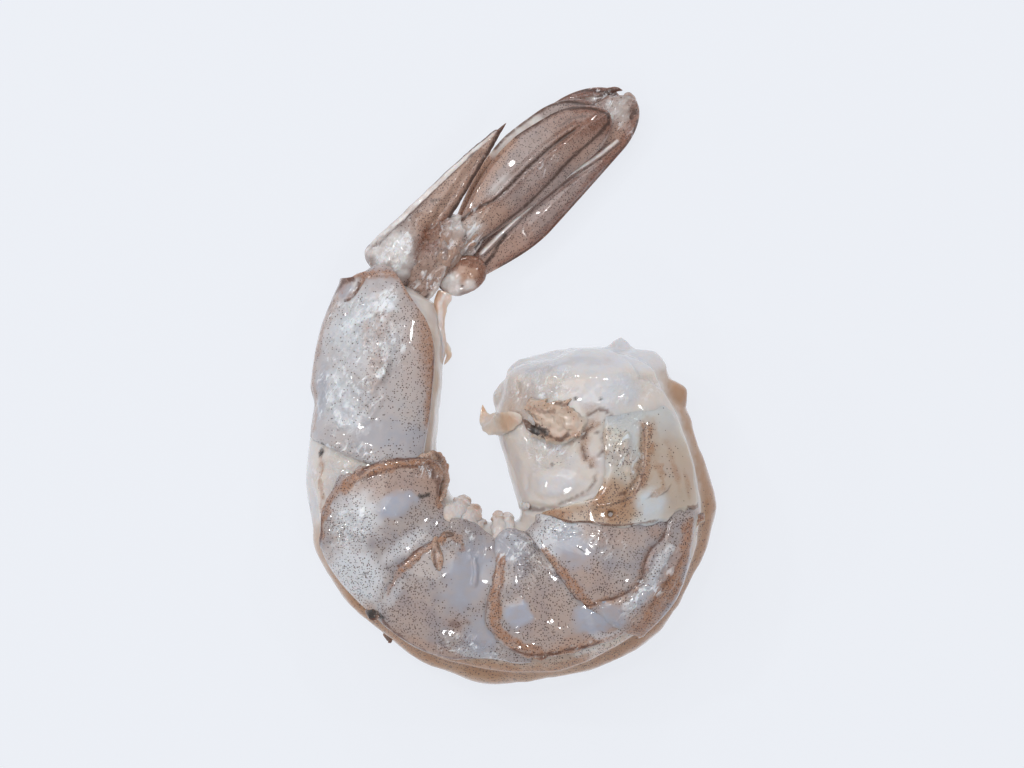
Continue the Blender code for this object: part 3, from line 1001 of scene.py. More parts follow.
@dataclass
class Muscle:
    """The flesh from the neck cut to the tail, with its folds and its cut back; the leg stumps are shreds of
    their own.
    """

    rings: int = 324
    sides: int = 200
    cap_rings: int = 20
    back_ledge: Path = ((-1, 62), (0, 52), (0.1, 42), (0.65, 38), (1.1, 34), (1.5, 36), (2, 37), (4, 37))
    ledge_height: float = 0.65
    ledge_run: float = 2.0
    ledge_fade: tuple[float, float] = (90.0, 150.0)
    ledge_end: tuple[float, float] = (0.4, 1.2)
    skin_waves: tuple[Waves, ...] = (Waves(0.14, 3.0, 3), Waves(0.06, 1.1, 4))
    crinkles: tuple[Waves, ...] = (Waves(0.16, 0.9, 5), Waves(0.11, 0.5, 6))
    cap_fade: tuple[float, float] = (0.05, 0.4)
    cut_edge: tuple[float, float] = (0.10, 0.45)
    cut_milk: float = 0.8
    paint: Paint = field(default_factory=lambda: coats(
        tan=(Stroke((0.6, -8, 2, -4, 3.5, 0, 5.5, 4, 8, 6), 3.4, 3, 1, 0.6),
            Stroke((0.6, -40, 3, -36, 5.5, -36, 8, -36), 3, 4, 0.7, 0.6),
            Stroke((5, 34, 6, 30, 7, 28, 8, 24, 9, 10), 1.8, 1.6, 0.6, 0.7),
            Patch(1.3, 52, 5, 1.8, 0.9, 0.4), Patch(9.9, 150, 6, 1.8, 0.8, 0.4),
            Patch(11.8, 150, 6, 1.8, 0.8, 0.45), Patch(0.5, 140, 2.5, 2.5, 0.9, 0.35),
            Patch(1, 100, 2, 1.6, 0.9, 0.35, 0.4), Patch(1.35, 72, 3, 1.5, 0.9, 0.25)),
        specks=(Stroke((4.4, 30, 5.4, 20, 6.6, 22, 7.8, 20), 2.8, 1.6, 0.8, 0.6),
            Stroke((0.95, 66, 1.3, 70, 1.6, 76), 0.8, 1, 0.6, 0.3), Patch(1.1, 110, 3, 3, 1, 0.12, 0.4),
            Stroke((2.4, 16, 3.2, 18, 4.2, 20), 1, 2, 0.35, 0.8),
            Stroke((9.6, 12, 10.2, 10), 0.6, 1.4, 0.3, 0.6)),
        rim=(Stroke((7.9, 26, 7.3, 26, 6.4, 24, 5.6, 24, 4.8, 30), 0.9, 1.4, 0.65, 0.5),
            Patch(5.9, 0, 4, 0.9, 0.8, 0.7), Patch(0.7, 2, 1.8, 1, 0.9, 0.7),
            Stroke((1.2, -4, 2.2, 0, 3.2, 4, 4.4, 8), 1.2, 2.4, 0.75, 0.9),
            Stroke((6.8, 10, 7.6, 8, 8.6, 4), 0.3, 1.2, 0.5, 0.6),
            Stroke((10.2, 34, 9.95, 38, 9.8, 36, 9.55, 38, 9.3, 14), 0.08, 0.25, 0.7, 0.3),
            Stroke((0.9, 90, 1.1, 96, 1.35, 99, 1.5, 96), 0.35, 0.5, 0.65, 0.35),
            Patch(0.6, 90, 1, 1, 1.2, 0.35, 0.4)),
        line=(Stroke((0.95, 92, 1.1, 96, 1.3, 99, 1.5, 97, 1.36, 91, 1.15, 88.5, 0.95, 92),
                0.06, 0.16, 0.8, 0.08),
            Stroke((2.1, 122, 1.9, 108, 1.75, 99, 1.6, 96), 0.04, 0.16, 0.6, 0.06),
            Stroke((1.05, 86, 0.9, 76, 0.9, 70), 0.06, 0.18, 0.8, 0.08),
            Stroke((0.72, 92, 0.62, 86, 0.72, 81, 0.82, 84), 0.05, 0.16, 0.7, 0.12),
            Stroke((2.35, 138, 2.42, 146, 2.4, 156), 0.1, 0.3, 0.6, 0.1)),
        soot=(Patch(0.35, 97, 0.25, 0.3, 0.4, 0.9), Patch(0.4, 84, 0.25, 0.25, 0.4, 0.9),
            Patch(10.2, 34, 0.5, 0.5, 0.6, 1, 0.3), Patch(9.5, 4, 0.5, 0.2, 0.6, 0.7, 0.3),
            Patch(1.5, 120, 0.2, 0.2, 0.6, 0.6, 0.3), Patch(1.25, 70, 0.2, 0.2, 0.6, 0.8, 0.3),
            Patch(1.1, 64, 0.2, 0.2, 0.6, 0.8, 0.3)),
        milk=(Patch(1.75, 121, 1.5, 2.6, 0.4, 0.6), Patch(0.25, 78, 2.4, 3.6, 0.8, 0.8),
            Patch(9.9, 6, 6, 2, 0.8, 0.6), Patch(1.95, 72, 1.6, 2.8, 0.8, 0.5)),
        crinkle=(Patch(1.3, 120, 2.6, 3.2, 1, 0.8, 0.3), Patch(0.1, 124, 3.2, 4, 1, 1, 0.3),
            Patch(0.2, 60, 2, 4, 1, 0.5, 0.3), Patch(9.9, 58, 2.6, 4, 1, 0.8, 0.3),
            Patch(2.35, 60, 1.4, 3.4, 1, 0.8, 0.3)),
    ))
    relief: Relief = ((0.4, Patch(1.75, 121, 1.4, 2.6, 0.9)),
        (-0.22,
            Stroke((1.85, 148, 1.62, 140, 1.55, 118, 1.64, 104, 1.8, 98, 1.95, 108, 2.1, 122),
                0.05, 0.4, 1, 0.05)), (0.55, Patch(0.25, 80, 2, 3, 1)), (0.75, Patch(9.75, 2, 7, 3.6, 1.6)),
        (0.35, Patch(8.8, -4, 5, 4, 1.6)),
        (-0.35, Stroke((2.3, 96, 2.35, 116, 2.35, 136, 2.35, 156), 0.1, 0.9, 1, 0)),
        (-0.25, Stroke((0.75, 140, 1.2, 128, 1.3, 112, 1.2, 104), 0.05, 0.6, 1, 0.1)),
        (1.4, Spot((21.2, -0.8, 9), 2.5)), (1.3, Spot((13.5, 4.6, 6), 2)), (0.7, Spot((17.4, 3.2, 8), 3.4)),
        (-0.8, Spot((4.6, 3.8, 8), 5)), (-0.8, Spot((0, 2.4, 8), 2.4)), (1.1, Spot((-2, -1.4, 8), 2.6)),
        (-0.4, Spot((23.6, -7, 8), 4)), (0.4, Spot((24.8, -15, 8), 6)), (-0.9, Spot((22.6, -24.6, 8), 5)),
        (0.5, Spot((17.6, -31.2, 8), 4.5)), (0.3, Spot((14.6, -34, 8), 4.5)),
        (-0.7, Spot((5.4, -36.8, 8), 5)), (0.7, Spot((-3.6, -37, 8), 5)),
        (-0.3, Stroke((10.2, 178, 11, 178, 12.2, 178), 1.5, 2, 1, 0)), (0.5, Spot((-20.2, -27.4, 8), 5.5)),
        (-0.5, Spot((-25.2, -17, 8), 4.5)))

    def ring_place(self, ring: Array) -> tuple[Array, Array, Array]:
        """Where a ring of points lies.

        Args:
            ring: Ring numbers from the neck to the tail.

        Returns:
            Station, share of the section, and share of the end dome, for each ring.
        """
        last = self.rings - self.cap_rings
        turn = np.radians(90 * np.minimum(np.minimum(ring, self.rings - ring) / self.cap_rings, 1.0))
        part = np.clip((ring - self.cap_rings) / (last - self.cap_rings), 0.0, 1.0)
        return part * CURL.last_station, np.sin(turn), np.cos(turn)

    def build(self) -> Piece:
        """Spread rings of points along the curl.

        Returns:
            The muscle.
        """
        ring, column = paired(np.arange(1, self.rings), np.arange(self.sides))
        angle = (column / self.sides * 2 - 1) * 180.0
        station, share, dome = self.ring_place(ring)
        points = CURL.flesh(station, angle, share, dome)
        normals = surface_normals(points.reshape(-1, self.sides, 3))
        layers = painted(self.paint, CURL.chart(1), points)
        height = raised(self.relief, CURL.chart(1), points)
        ledge = smooth(0.0, self.ledge_run, angle - read(self.back_ledge, station)) * (angle > 0)
        ledge *= (1 - smooth(*self.ledge_fade, angle)) * (1 - smooth(*self.ledge_end, station))
        height += self.ledge_height * ledge + summed(self.skin_waves, points)
        height += layers[Layer.CRINKLE] * summed(self.crinkles, points)
        height *= (points[:, 2] >= CURL.floor + 0.05) * smooth(*self.cap_fade, share)
        points = points + normals * height[:, None]
        at_neck = (station < 1.0) * smooth(*self.cut_edge, dome)
        layers[Layer.MILK] = np.maximum(layers[Layer.MILK], self.cut_milk * at_neck)
        layers[Layer.TAN] = layers[Layer.TAN] * (1 - at_neck)
        ends = np.array([0.0, CURL.last_station])
        tips = CURL.flesh(ends, np.zeros(2), np.zeros(2), np.ones(2))
        mesh = tube_mesh("muscle", points, self.sides, tips, layers)
        return Piece("muscle", mesh, "flesh", FLESH_FINISH, Slot.FLESH)


# The shell


@dataclass(frozen=True)
class Plate:
    """Half a plate of shell. Its edges are stations and angles on the curl."""

    number: int
    front: Path
    rear: Path
    back: Path
    belly: Path
    paint: Paint
    relief: Relief
    specks: float = 1.0
    finish: WetFinish = SHELL_FINISH
    gap: float = 0.28
    lap: float = 0.45
    lap_run: tuple[float, float] = (0.30, 0.70)
    thickness: float = 0.32
    feather: float = 0.5
    feather_edge: float = 0.1
    crinkles: tuple[Waves, ...] = (Waves(0.15, 0.9, 13), Waves(0.11, 0.5, 14))
    torn_edge: tuple[Waves, ...] = (Waves(0.05, 0.9, 71), Waves(0.025, 0.35, 72))
    torn_back: Waves = Waves(1.6, 0.8, 73)
    hidden_warmth: tuple[float, float] = (60.0, 110.0)
    near_grid: tuple[int, int] = (126, 108)
    far_grid: tuple[int, int] = (56, 50)

    def place(self, across: Array, length: Array) -> tuple[Array, Array]:
        """Where a share of the plate's width and length lies.

        Args:
            across: Share from the back edge to the belly edge.
            length: Share from the front edge to the rear edge.

        Returns:
            The stations and the angles.
        """
        back, belly = read(self.back, length), read(self.belly, length)
        angle = back + (belly - back) * across
        rear_angle = self.back[-1][1] + (self.belly[-1][1] - self.back[-1][1]) * across
        front = read(self.front, across)
        torn = np.column_stack([rear_angle / 10, length * 8, np.full(len(angle), self.number * 7.0)])
        rear = read(self.rear, rear_angle) + summed(self.torn_edge, torn)
        return front + (rear - front) * length, angle + self.torn_back.at(torn) * (1 - across)

    def build(self, side: int) -> Piece:
        """Make the plate on one flank.

        Args:
            side: 1 for the upper flank, -1 for the lower.

        Returns:
            The plate.
        """
        rows, columns = self.near_grid if side > 0 else self.far_grid
        length, across = paired(np.linspace(0, 1, rows), np.linspace(0, 1, columns))
        station, angle = self.place(across, length)
        chart = CURL.chart(side)
        skin, normal = CURL.flesh(station, side * angle), CURL.normal(station, side * angle)
        base = skin + normal * (self.gap + self.lap * smooth(*self.lap_run, length))[:, None]
        grid = base.reshape(rows, columns, 3)
        steps = (np.linalg.norm(np.diff(grid, axis=axis), axis=2) for axis in (0, 1))
        size = tuple(step.sum(axis=axis).mean() for axis, step in enumerate(steps))
        feather = smooth(0.0, self.feather, length * size[0])
        edge = edge_share(rows, columns, size) * (self.feather_edge + (1 - self.feather_edge) * feather)
        layers = painted(self.paint, chart, skin)
        rise = raised(self.relief, chart, skin) + Waves(0.05, 1.6, self.number).at(base)
        rise += layers[Layer.CRINKLE] * summed(self.crinkles, skin)
        outer, inner = shell_sides(base, normal, edge, rise, self.thickness)
        thin = 1 - 0.4 * np.clip(ripple(outer, 2.2, 8) + 0.3, 0.0, 1.0)
        layers[Layer.SPECKS] = np.maximum(layers[Layer.SPECKS], self.specks * thin)
        if side < 0:
            warm = 1 - smooth(*self.hidden_warmth, angle)
            layers[Layer.TAN] = np.maximum(layers[Layer.TAN], 0.9 * warm)
            layers[Layer.RIM] = np.maximum(layers[Layer.RIM], 0.5 * warm)
        node = f"shell_{self.number}_{'near' if side > 0 else 'far'}"
        mesh = sheet_mesh(node, outer, inner, columns, layers)
        return Piece(f"skin_{node}", mesh, node, self.finish, Slot.SHELL)


PLATE_1 = Plate(
    1, front=((0, 0.45), (1, 0.75)),
    rear=((38, 2), (64, 2.2), (76, 2.35), (92, 2.5), (102, 2.5), (112, 2.65), (136, 2.6)),
    back=((0, 41), (0.4, 36), (0.7, 37), (1, 38)),
    belly=((0, 84), (0.2, 88), (0.46, 92), (0.57, 96), (0.66, 102), (0.71, 112), (0.77, 122), (0.9, 133),
        (1, 136)),
    paint=coats(
        tan=(Patch(1.6, 54, 6, 3.2, 0.9, 0.6), Patch(2.3, 110, 1.2, 4.6, 0.8, 0.75),
            Patch(2, 90, 3, 2.9, 0.6, 0.9, 0.2), Patch(1.4, 82, 3, 1.6, 0.9, 0.4, 0.2),
            Stroke((1, 62, 1.4, 68, 1.65, 75, 1.9, 84, 2.15, 92), 0.9, 0.9, 0.45, 0.3)),
        specks=(Stroke((2.45, 134, 2.4, 122, 2.35, 110, 2.15, 100, 2, 94), 0.9, 0.5, 0.9, 0.2),
            Stroke((1, 62, 1.4, 68, 1.65, 75, 1.9, 84, 2.15, 92), 0.6, 0.6, 0.9, 0.3),
            Patch(2.05, 89, 3, 3.4, 0.5, 1, 0.2), Patch(1.4, 82, 3, 1.4, 1, 0.6, 0.3)),
        rim=(Patch(2.15, 92, 2.6, 3, 0.8, 0.4, 0.3),
            Stroke((2.5, 136, 2.45, 128, 2.45, 118), 0.45, 0.9, 0.9, 0.3),
            Stroke((1, 63, 1.4, 69, 1.68, 76, 1.9, 84, 2.1, 90), 0.4, 0.7, 0.85, 0.4),
            Stroke((1.1, 88, 1.4, 92, 1.7, 95, 2, 97), 0.4, 0.7, 0.7, 0.4),
            Stroke((1.5, 62, 1.72, 63, 1.85, 70), 0.2, 0.4, 0.6, 0.35),
            Patch(2.2, 92, 0.8, 0.8, 0.8, 0.8, 0.3), Patch(1.5, 53, 2.6, 0.5, 1.2, 0.6, 0.5),
            Patch(1.7, 46, 1.8, 0.3, 1.2, 0.5, 0.5)),
        line=(Stroke((2.58, 128, 2.6, 114, 2.46, 102, 2.44, 92, 2.3, 78, 2.22, 68), 0.05, 0.16, 0.75, 0.1),
            Stroke((1, 64, 1.42, 70, 1.72, 76, 1.9, 82), 0.03, 0.14, 0.5, 0.12),
            Stroke((2.3, 66, 2.2, 60, 2.1, 50), 0.04, 0.14, 0.5, 0.1),
            Stroke((2, 40, 2.02, 46), 0.25, 0.3, 0.7, 0.3), Patch(1.85, 86, 0.25, 0.5, 1, 0.8, 0.4)),
        soot=(Patch(2.2, 92, 0.38, 0.3, 0.5, 1, 0.2), Patch(1.3, 80, 0.1, 0.1, 0.8, 0.8, 0.2)),
        milk=(Patch(1.95, 72, 1.5, 1.9, 0.7, 0.65),),
        crinkle=(Patch(1.35, 80, 2.6, 1.6, 1, 0.8, 0.3), Patch(0.8, 74, 1.6, 2.6, 1, 0.6, 0.3)),
    ),
    relief=((0.5, Patch(1.42, 80, 3, 1.4, 0.9)), (0.18, Stroke((1.2, 78, 1.5, 80, 1.7, 82), 0.1, 0.6, 1, 0)),
        (-0.25, Stroke((1, 65, 1.4, 71, 1.65, 77, 1.85, 84), 0.05, 0.5, 1, 0.1)),
        (-0.5, Patch(2.2, 92, 0.45, 0.35, 0.8)), (0.22, Patch(1.95, 72, 1.6, 2, 1.2))),
    specks=0.04, finish=FLESH_FINISH, lap=0.35, feather=2.5,
)

PLATE_2 = Plate(
    2, front=((0, 1.65), (0.4, 2), (1, 2.35)),
    rear=((34, 3.95), (46, 4), (58, 4.05), (68, 4.12), (76, 4.2), (84, 4.25), (98, 4.2), (114, 4.15),
        (142, 4.1)),
    back=((0, 42), (0.4, 38), (0.7, 32), (1, 26)), belly=((0, 126), (0.1, 136), (0.5, 141), (1, 140)),
    paint=coats(
        tan=(Patch(3.2, 52, 7, 1.2, 0.8, 0.5), Patch(3.7, 88, 2, 6, 1, 0.4), Patch(2.6, 92, 1.6, 4, 1, 0.35)),
        clear=(Stroke((2.3, 39, 2.65, 35, 3.15, 31, 3.6, 28), 0.35, 0.5, 0.45),
            Stroke((3.7, 60, 3.3, 58, 2.9, 60, 2.6, 56), 0.35, 0.5, 0.7, 0.2),
            Patch(3.75, 122, 1.2, 2, 0.9, 0.9, 0.2), Patch(2.95, 120, 2.4, 2.6, 0.9, 0.95, 0.3)),
        rim=(Stroke((4.06, 116, 4.08, 98, 4.12, 84, 4.1, 77), 0.34, 0.5, 0.95, 0.25),
            Stroke((4.1, 76, 3.88, 74, 3.72, 70, 3.55, 68), 0.16, 0.5, 0.8, 0.3),
            Stroke((2.2, 45, 2.6, 44, 2.9, 44.5, 3.15, 45), 0.45, 0.6, 0.9, 0.35),
            Stroke((3.1, 45, 3.4, 43, 3.7, 38, 3.95, 34), 0.9, 0.8, 0.9, 0.45),
            Stroke((3.4, 66, 3, 68, 2.7, 68), 0.12, 0.6, 0.6, 0.3), Patch(2.4, 66, 0.9, 1.5, 0.9, 0.45)),
        line=(Stroke((4.2, 112, 4.22, 100, 4.24, 84, 4.18, 77, 4, 75), 0.05, 0.14, 0.9, 0.1),
            Stroke((3.9, 74, 3.6, 68, 3.2, 65, 3, 68, 2.7, 68, 2.45, 62, 2.15, 61), 0.05, 0.18, 0.75, 0.1),
            Stroke((2.6, 46, 3.15, 50, 3.5, 48), 0.04, 0.18, 0.5, 0.1)),
        soot=(Stroke((3.24, 104, 3.28, 99), 0.04, 0.1, 0.8, 0.05),),
        milk=(Patch(3.35, 106, 2, 2.6, 1, 0.75, 0.2), Patch(3.35, 57, 4.4, 0.8, 0.9, 0.5),
            Patch(3.95, 62, 1.5, 1.8, 0.6, 0.8, 0.2), Stroke((2.5, 37, 3, 31, 3.6, 27), 0.5, 0.6, 0.7, 0.2)),
        crinkle=(Patch(2.95, 120, 1.6, 2.6, 1, 1, 0.3), Patch(3.3, 58, 5, 1.4, 1, 0.9, 0.3),
            Patch(2.9, 92, 1.4, 3, 1, 0.4, 0.3)),
    ),
    relief=((0.18, Stroke((2.45, 44, 2.9, 46, 3.15, 48, 3.4, 46, 3.7, 38), 0.15, 0.9, 1, 0.2)),
        (-0.3, Stroke((3.9, 73, 3.55, 67, 3.2, 65, 3, 68, 2.7, 68, 2.45, 62, 2.15, 61), 0.05, 0.6, 1, 0.1)),
        (0.28, Stroke((3.75, 60, 3.3, 59, 2.9, 60, 2.6, 56), 0.1, 0.7, 1, 0.25)),
        (0.2, Stroke((3.9, 52, 3.5, 53, 3.1, 54), 0.05, 0.5, 1, 0.25)),
        (0.2, Patch(3.75, 122, 1.6, 2.2, 1.2)),
        (0.2, Stroke((3.05, 128, 3, 118, 2.9, 108), 0.1, 0.5, 1, 0.2)),
        (0.12, Stroke((2.4, 39, 2.65, 35, 3.15, 31, 3.6, 27), 0.05, 0.3, 1, 0.1))),
)

PLATE_3 = Plate(
    3, front=((0, 3.75), (1, 3.75)),
    rear=((52, 5.42), (58, 5.6), (62, 5.75), (70, 5.95), (78, 6.1), (90, 6.05), (104, 5.9), (118, 5.7),
        (142, 5.6)),
    back=((0, 40), (0.3, 43), (0.55, 49), (0.8, 52), (1, 52)),
    belly=((0, 134), (0.15, 141), (0.8, 142), (1, 136)),
    paint=coats(
        tan=(Patch(4.6, 54, 6, 1.6, 0.8, 0.6), Patch(4.9, 80, 3.5, 4, 1, 0.35)),
        clear=(Stroke((4.05, 46, 4.3, 50, 4.35, 60, 4.25, 72), 0.2, 0.5, 0.6, 0.2),
            Patch(5, 130, 2, 1.6, 1, 0.5, 0.3)),
        rim=(Stroke((5.52, 118, 5.7, 104, 5.84, 90, 5.88, 78, 5.76, 70, 5.52, 62, 5.25, 57),
                0.52, 0.45, 0.95, 0.3),
            Stroke((5.45, 54, 5.15, 54, 4.95, 54, 4.55, 50, 4.3, 45, 4.05, 44), 0.3, 0.5, 0.75, 0.35)),
        line=(Stroke((5.68, 60, 5.35, 56, 5.05, 55, 4.75, 53.5, 4.4, 48), 0.08, 0.22, 0.85),
            Stroke((5.5, 118, 5.62, 104, 5.76, 90, 5.8, 78), 0.03, 0.12, 0.4, 0.1),
            Stroke((5.68, 118, 5.88, 104, 6.02, 90, 6.07, 78, 5.93, 70), 0.03, 0.12, 0.5, 0.08)),
        soot=(Patch(4.6, 49, 0.35, 0.2, 0.7, 0.9, 0.3),),
        # The first milk patch is a painted reflection, a pale oval where the wet shell mirrors the light.
        milk=(Patch(5.42, 84, 1.65, 1.6, 0.4, 1, 0.2), Patch(4.1, 67, 3.2, 2.2, 0.6, 1, 0.2),
            Patch(5.2, 128, 2.4, 2.2, 0.9, 0.6)),
        crinkle=(Patch(4.7, 122, 3.4, 2.6, 1, 0.8, 0.3, turn=35), Patch(4.9, 50, 5, 0.9, 1, 0.8, 0.3)),
    ),
    relief=((0.15, Stroke((5.52, 118, 5.7, 104, 5.84, 90, 5.88, 78, 5.76, 70, 5.52, 62), 0.3, 0.5)),
        (0.24, Stroke((5.1, 142, 4.6, 132, 4.4, 118, 4.4, 106), 0.05, 0.45, 1, 0.2)),
        (0.22, Stroke((4.65, 146, 4.25, 136, 4.1, 124, 4.2, 110), 0.05, 0.4, 1, 0.2)),
        (0.2, Stroke((5.4, 134, 5, 124, 4.8, 112, 4.75, 100), 0.05, 0.4, 1, 0.2)),
        (0.16, Stroke((4.9, 138, 4.4, 130, 4.25, 118), 0.05, 0.3, 1, 0.2)),
        (0.22, Patch(5.42, 84, 1.7, 1.6, 0.8)), (0.3, Patch(4.15, 67, 2.8, 1.5, 1.2))),
)

PLATE_4 = Plate(
    4, front=((0, 5.4), (1, 5.4)),
    rear=((38, 7.7), (50, 7.85), (62, 7.88), (74, 7.93), (84, 7.95), (92, 7.87), (100, 7.78), (114, 7.55),
        (142, 7.4)),
    back=((0, 46), (0.33, 46), (0.54, 40), (0.7, 38), (1, 36)),
    belly=((0, 134), (0.15, 141), (0.8, 142), (1, 136)),
    paint=coats(
        tan=(Patch(6.8, 44, 6, 1, 0.9, 0.5), Patch(7.3, 60, 3, 3, 1, 0.25)),
        clear=(Patch(7.75, 62, 0.8, 2, 1, 0.5, 0.3), Patch(6.2, 52, 2.6, 0.8, 1, 0.5, 0.3)),
        rim=(Stroke((7.42, 118, 7.46, 112, 7.68, 100, 7.76, 91, 7.84, 83), 0.26, 0.4, 0.95, 0.3),
            Stroke((7.42, 117, 7.25, 122, 7, 122, 6.82, 119), 0.25, 0.4, 0.7, 0.3),
            Stroke((7.88, 82, 7.86, 72, 7.8, 62), 0.08, 0.5, 0.5, 0.3),
            Patch(6.6, 72, 1.2, 1, 1.2, 0.35, 0.4)),
        line=(Stroke((7.56, 112, 7.79, 99, 7.87, 90, 7.94, 82), 0.05, 0.14, 0.9, 0.12),
            Stroke((7.95, 34, 7.7, 39, 7.3, 39, 7, 39, 6.65, 41, 6.2, 46), 0.1, 0.3, 0.75, 0.2),
            Patch(6.6, 71, 0.6, 0.4, 1.2, 0.5, 0.5), Patch(6.4, 74, 0.5, 0.3, 1.2, 0.5, 0.5)),
        soot=(Stroke((7.82, 32, 7.78, 38, 7.7, 42), 0.28, 0.3, 1, 0.3),),
        milk=(Patch(6.5, 104, 2.4, 4.6, 1, 0.8, 0.2), Patch(6.15, 66, 2, 2.4, 1, 0.7)),
        crinkle=(Patch(6.3, 54, 3.6, 1.6, 1, 1, 0.3), Patch(7, 122, 3, 1.8, 1, 0.7, 0.3),
            Patch(8, 62, 0.8, 2, 1, 0.8, 0.3)),
    ),
    relief=((0.1, Stroke((7.42, 118, 7.46, 112, 7.68, 100, 7.76, 91, 7.86, 83), 0.15, 0.4, 1, 0.1)),
        (0.32, Stroke((6.42, 114, 6.35, 106, 6.35, 98), 0.05, 0.5)), (0.25, Patch(6.2, 56, 3, 1.4, 1))),
)

PLATE_5 = Plate(
    5, front=((0, 7.1), (1, 7.1)),
    rear=((40, 9.42), (48, 9.55), (60, 9.75), (78, 9.9), (94, 9.97), (112, 9.97), (136, 9.95), (160, 9.8)),
    back=((0, 38), (0.4, 26), (0.6, 17), (0.75, 19), (0.87, 33), (1, 40)),
    belly=((0, 136), (0.15, 142), (0.6, 147), (0.85, 160), (1, 156)),
    paint=coats(
        tan=(Patch(8.2, 28, 5, 1.4, 0.9, 0.6), Patch(9.5, 110, 2.4, 6, 1, 0.5),
            Patch(8.9, 138, 3, 1.6, 1, 0.5)),
        clear=(Patch(8.4, 50, 4, 3, 0.8, 1, 0.2), Patch(9.1, 72, 2.8, 3, 1, 0.85, 0.3),
            Patch(8.15, 92, 0.9, 3.6, 1, 0.7, 0.2), Patch(8.95, 102, 0.8, 1.4, 1, 0.4)),
        rim=(Stroke((9.62, 66, 9.74, 74, 9.82, 86, 9.84, 100, 9.84, 116, 9.82, 136, 9.7, 158),
                0.34, 0.6, 1, 0.3), Stroke((9.42, 42, 9.52, 50, 9.64, 60), 0.12, 0.4, 0.7, 0.3),
            Stroke((9.75, 142, 9.3, 150, 8.8, 156, 8.4, 146, 8.2, 138), 0.35, 0.6, 0.8, 0.3),
            Stroke((9.55, 38, 9.3, 40, 9.1, 37), 0.2, 0.3, 0.8, 0.2),
            Stroke((9.62, 60, 9.45, 52, 9.3, 46), 0.22, 0.3, 0.8, 0.25)),
        line=(Stroke((9.78, 80, 9.94, 92, 9.95, 112, 9.93, 136, 9.75, 156), 0.07, 0.2, 0.9),
            Stroke((9.66, 84, 9.76, 98, 9.76, 116, 9.62, 136), 0.05, 0.2, 0.65),
            Stroke((9.7, 136, 9.3, 140, 8.9, 144, 8.5, 141), 0.1, 0.4, 0.7, 0.2),
            Stroke((9.3, 40, 9.1, 36, 8.85, 21, 8.65, 18, 8.3, 20, 8, 28), 0.08, 0.2, 0.9, 0.12)),
        soot=(Stroke((8.82, 122, 8.72, 130), 0.1, 0.3, 0.9, 0.2),
            Patch(8.3, 58, 0.12, 0.4, 0.8, 0.7, 0.3, turn=20)),
        # This milk patch is a painted reflection, a pale oval where the wet shell mirrors the light.
        milk=(Patch(8.95, 102, 1.4, 2.3, 0.6, 1, 0.25),),
        # Painted highlight: a white smear on the wet shell.
        shine=(Stroke((9.2, 80, 9.05, 76, 8.95, 70), 0.1, 0.25, 0.9, 0.3),),
        crinkle=(Patch(9.05, 62, 2.2, 2.2, 1, 0.9, 0.3), Patch(9.7, 84, 1, 3, 1, 0.6, 0.3),
            Patch(9.6, 140, 1.6, 2, 1, 0.8, 0.3)),
    ),
    relief=((0.14, Stroke((9.7, 74, 9.82, 86, 9.84, 100, 9.84, 116, 9.82, 136), 0.2, 0.5, 1, 0.2)),
        (0.45, Stroke((9.7, 140, 9.3, 148, 8.8, 152), 0.3, 0.9, 1, 0.3)),
        (0.16, Patch(8.95, 102, 1.5, 2.4, 0.9)), (0.2, Stroke((9.25, 60, 9, 66, 8.8, 72), 0.1, 0.4, 1, 0.2)),
        (0.15, Patch(8.4, 54, 2.6, 2, 1.2))),
)

PLATES = (PLATE_1, PLATE_2, PLATE_3, PLATE_4, PLATE_5)


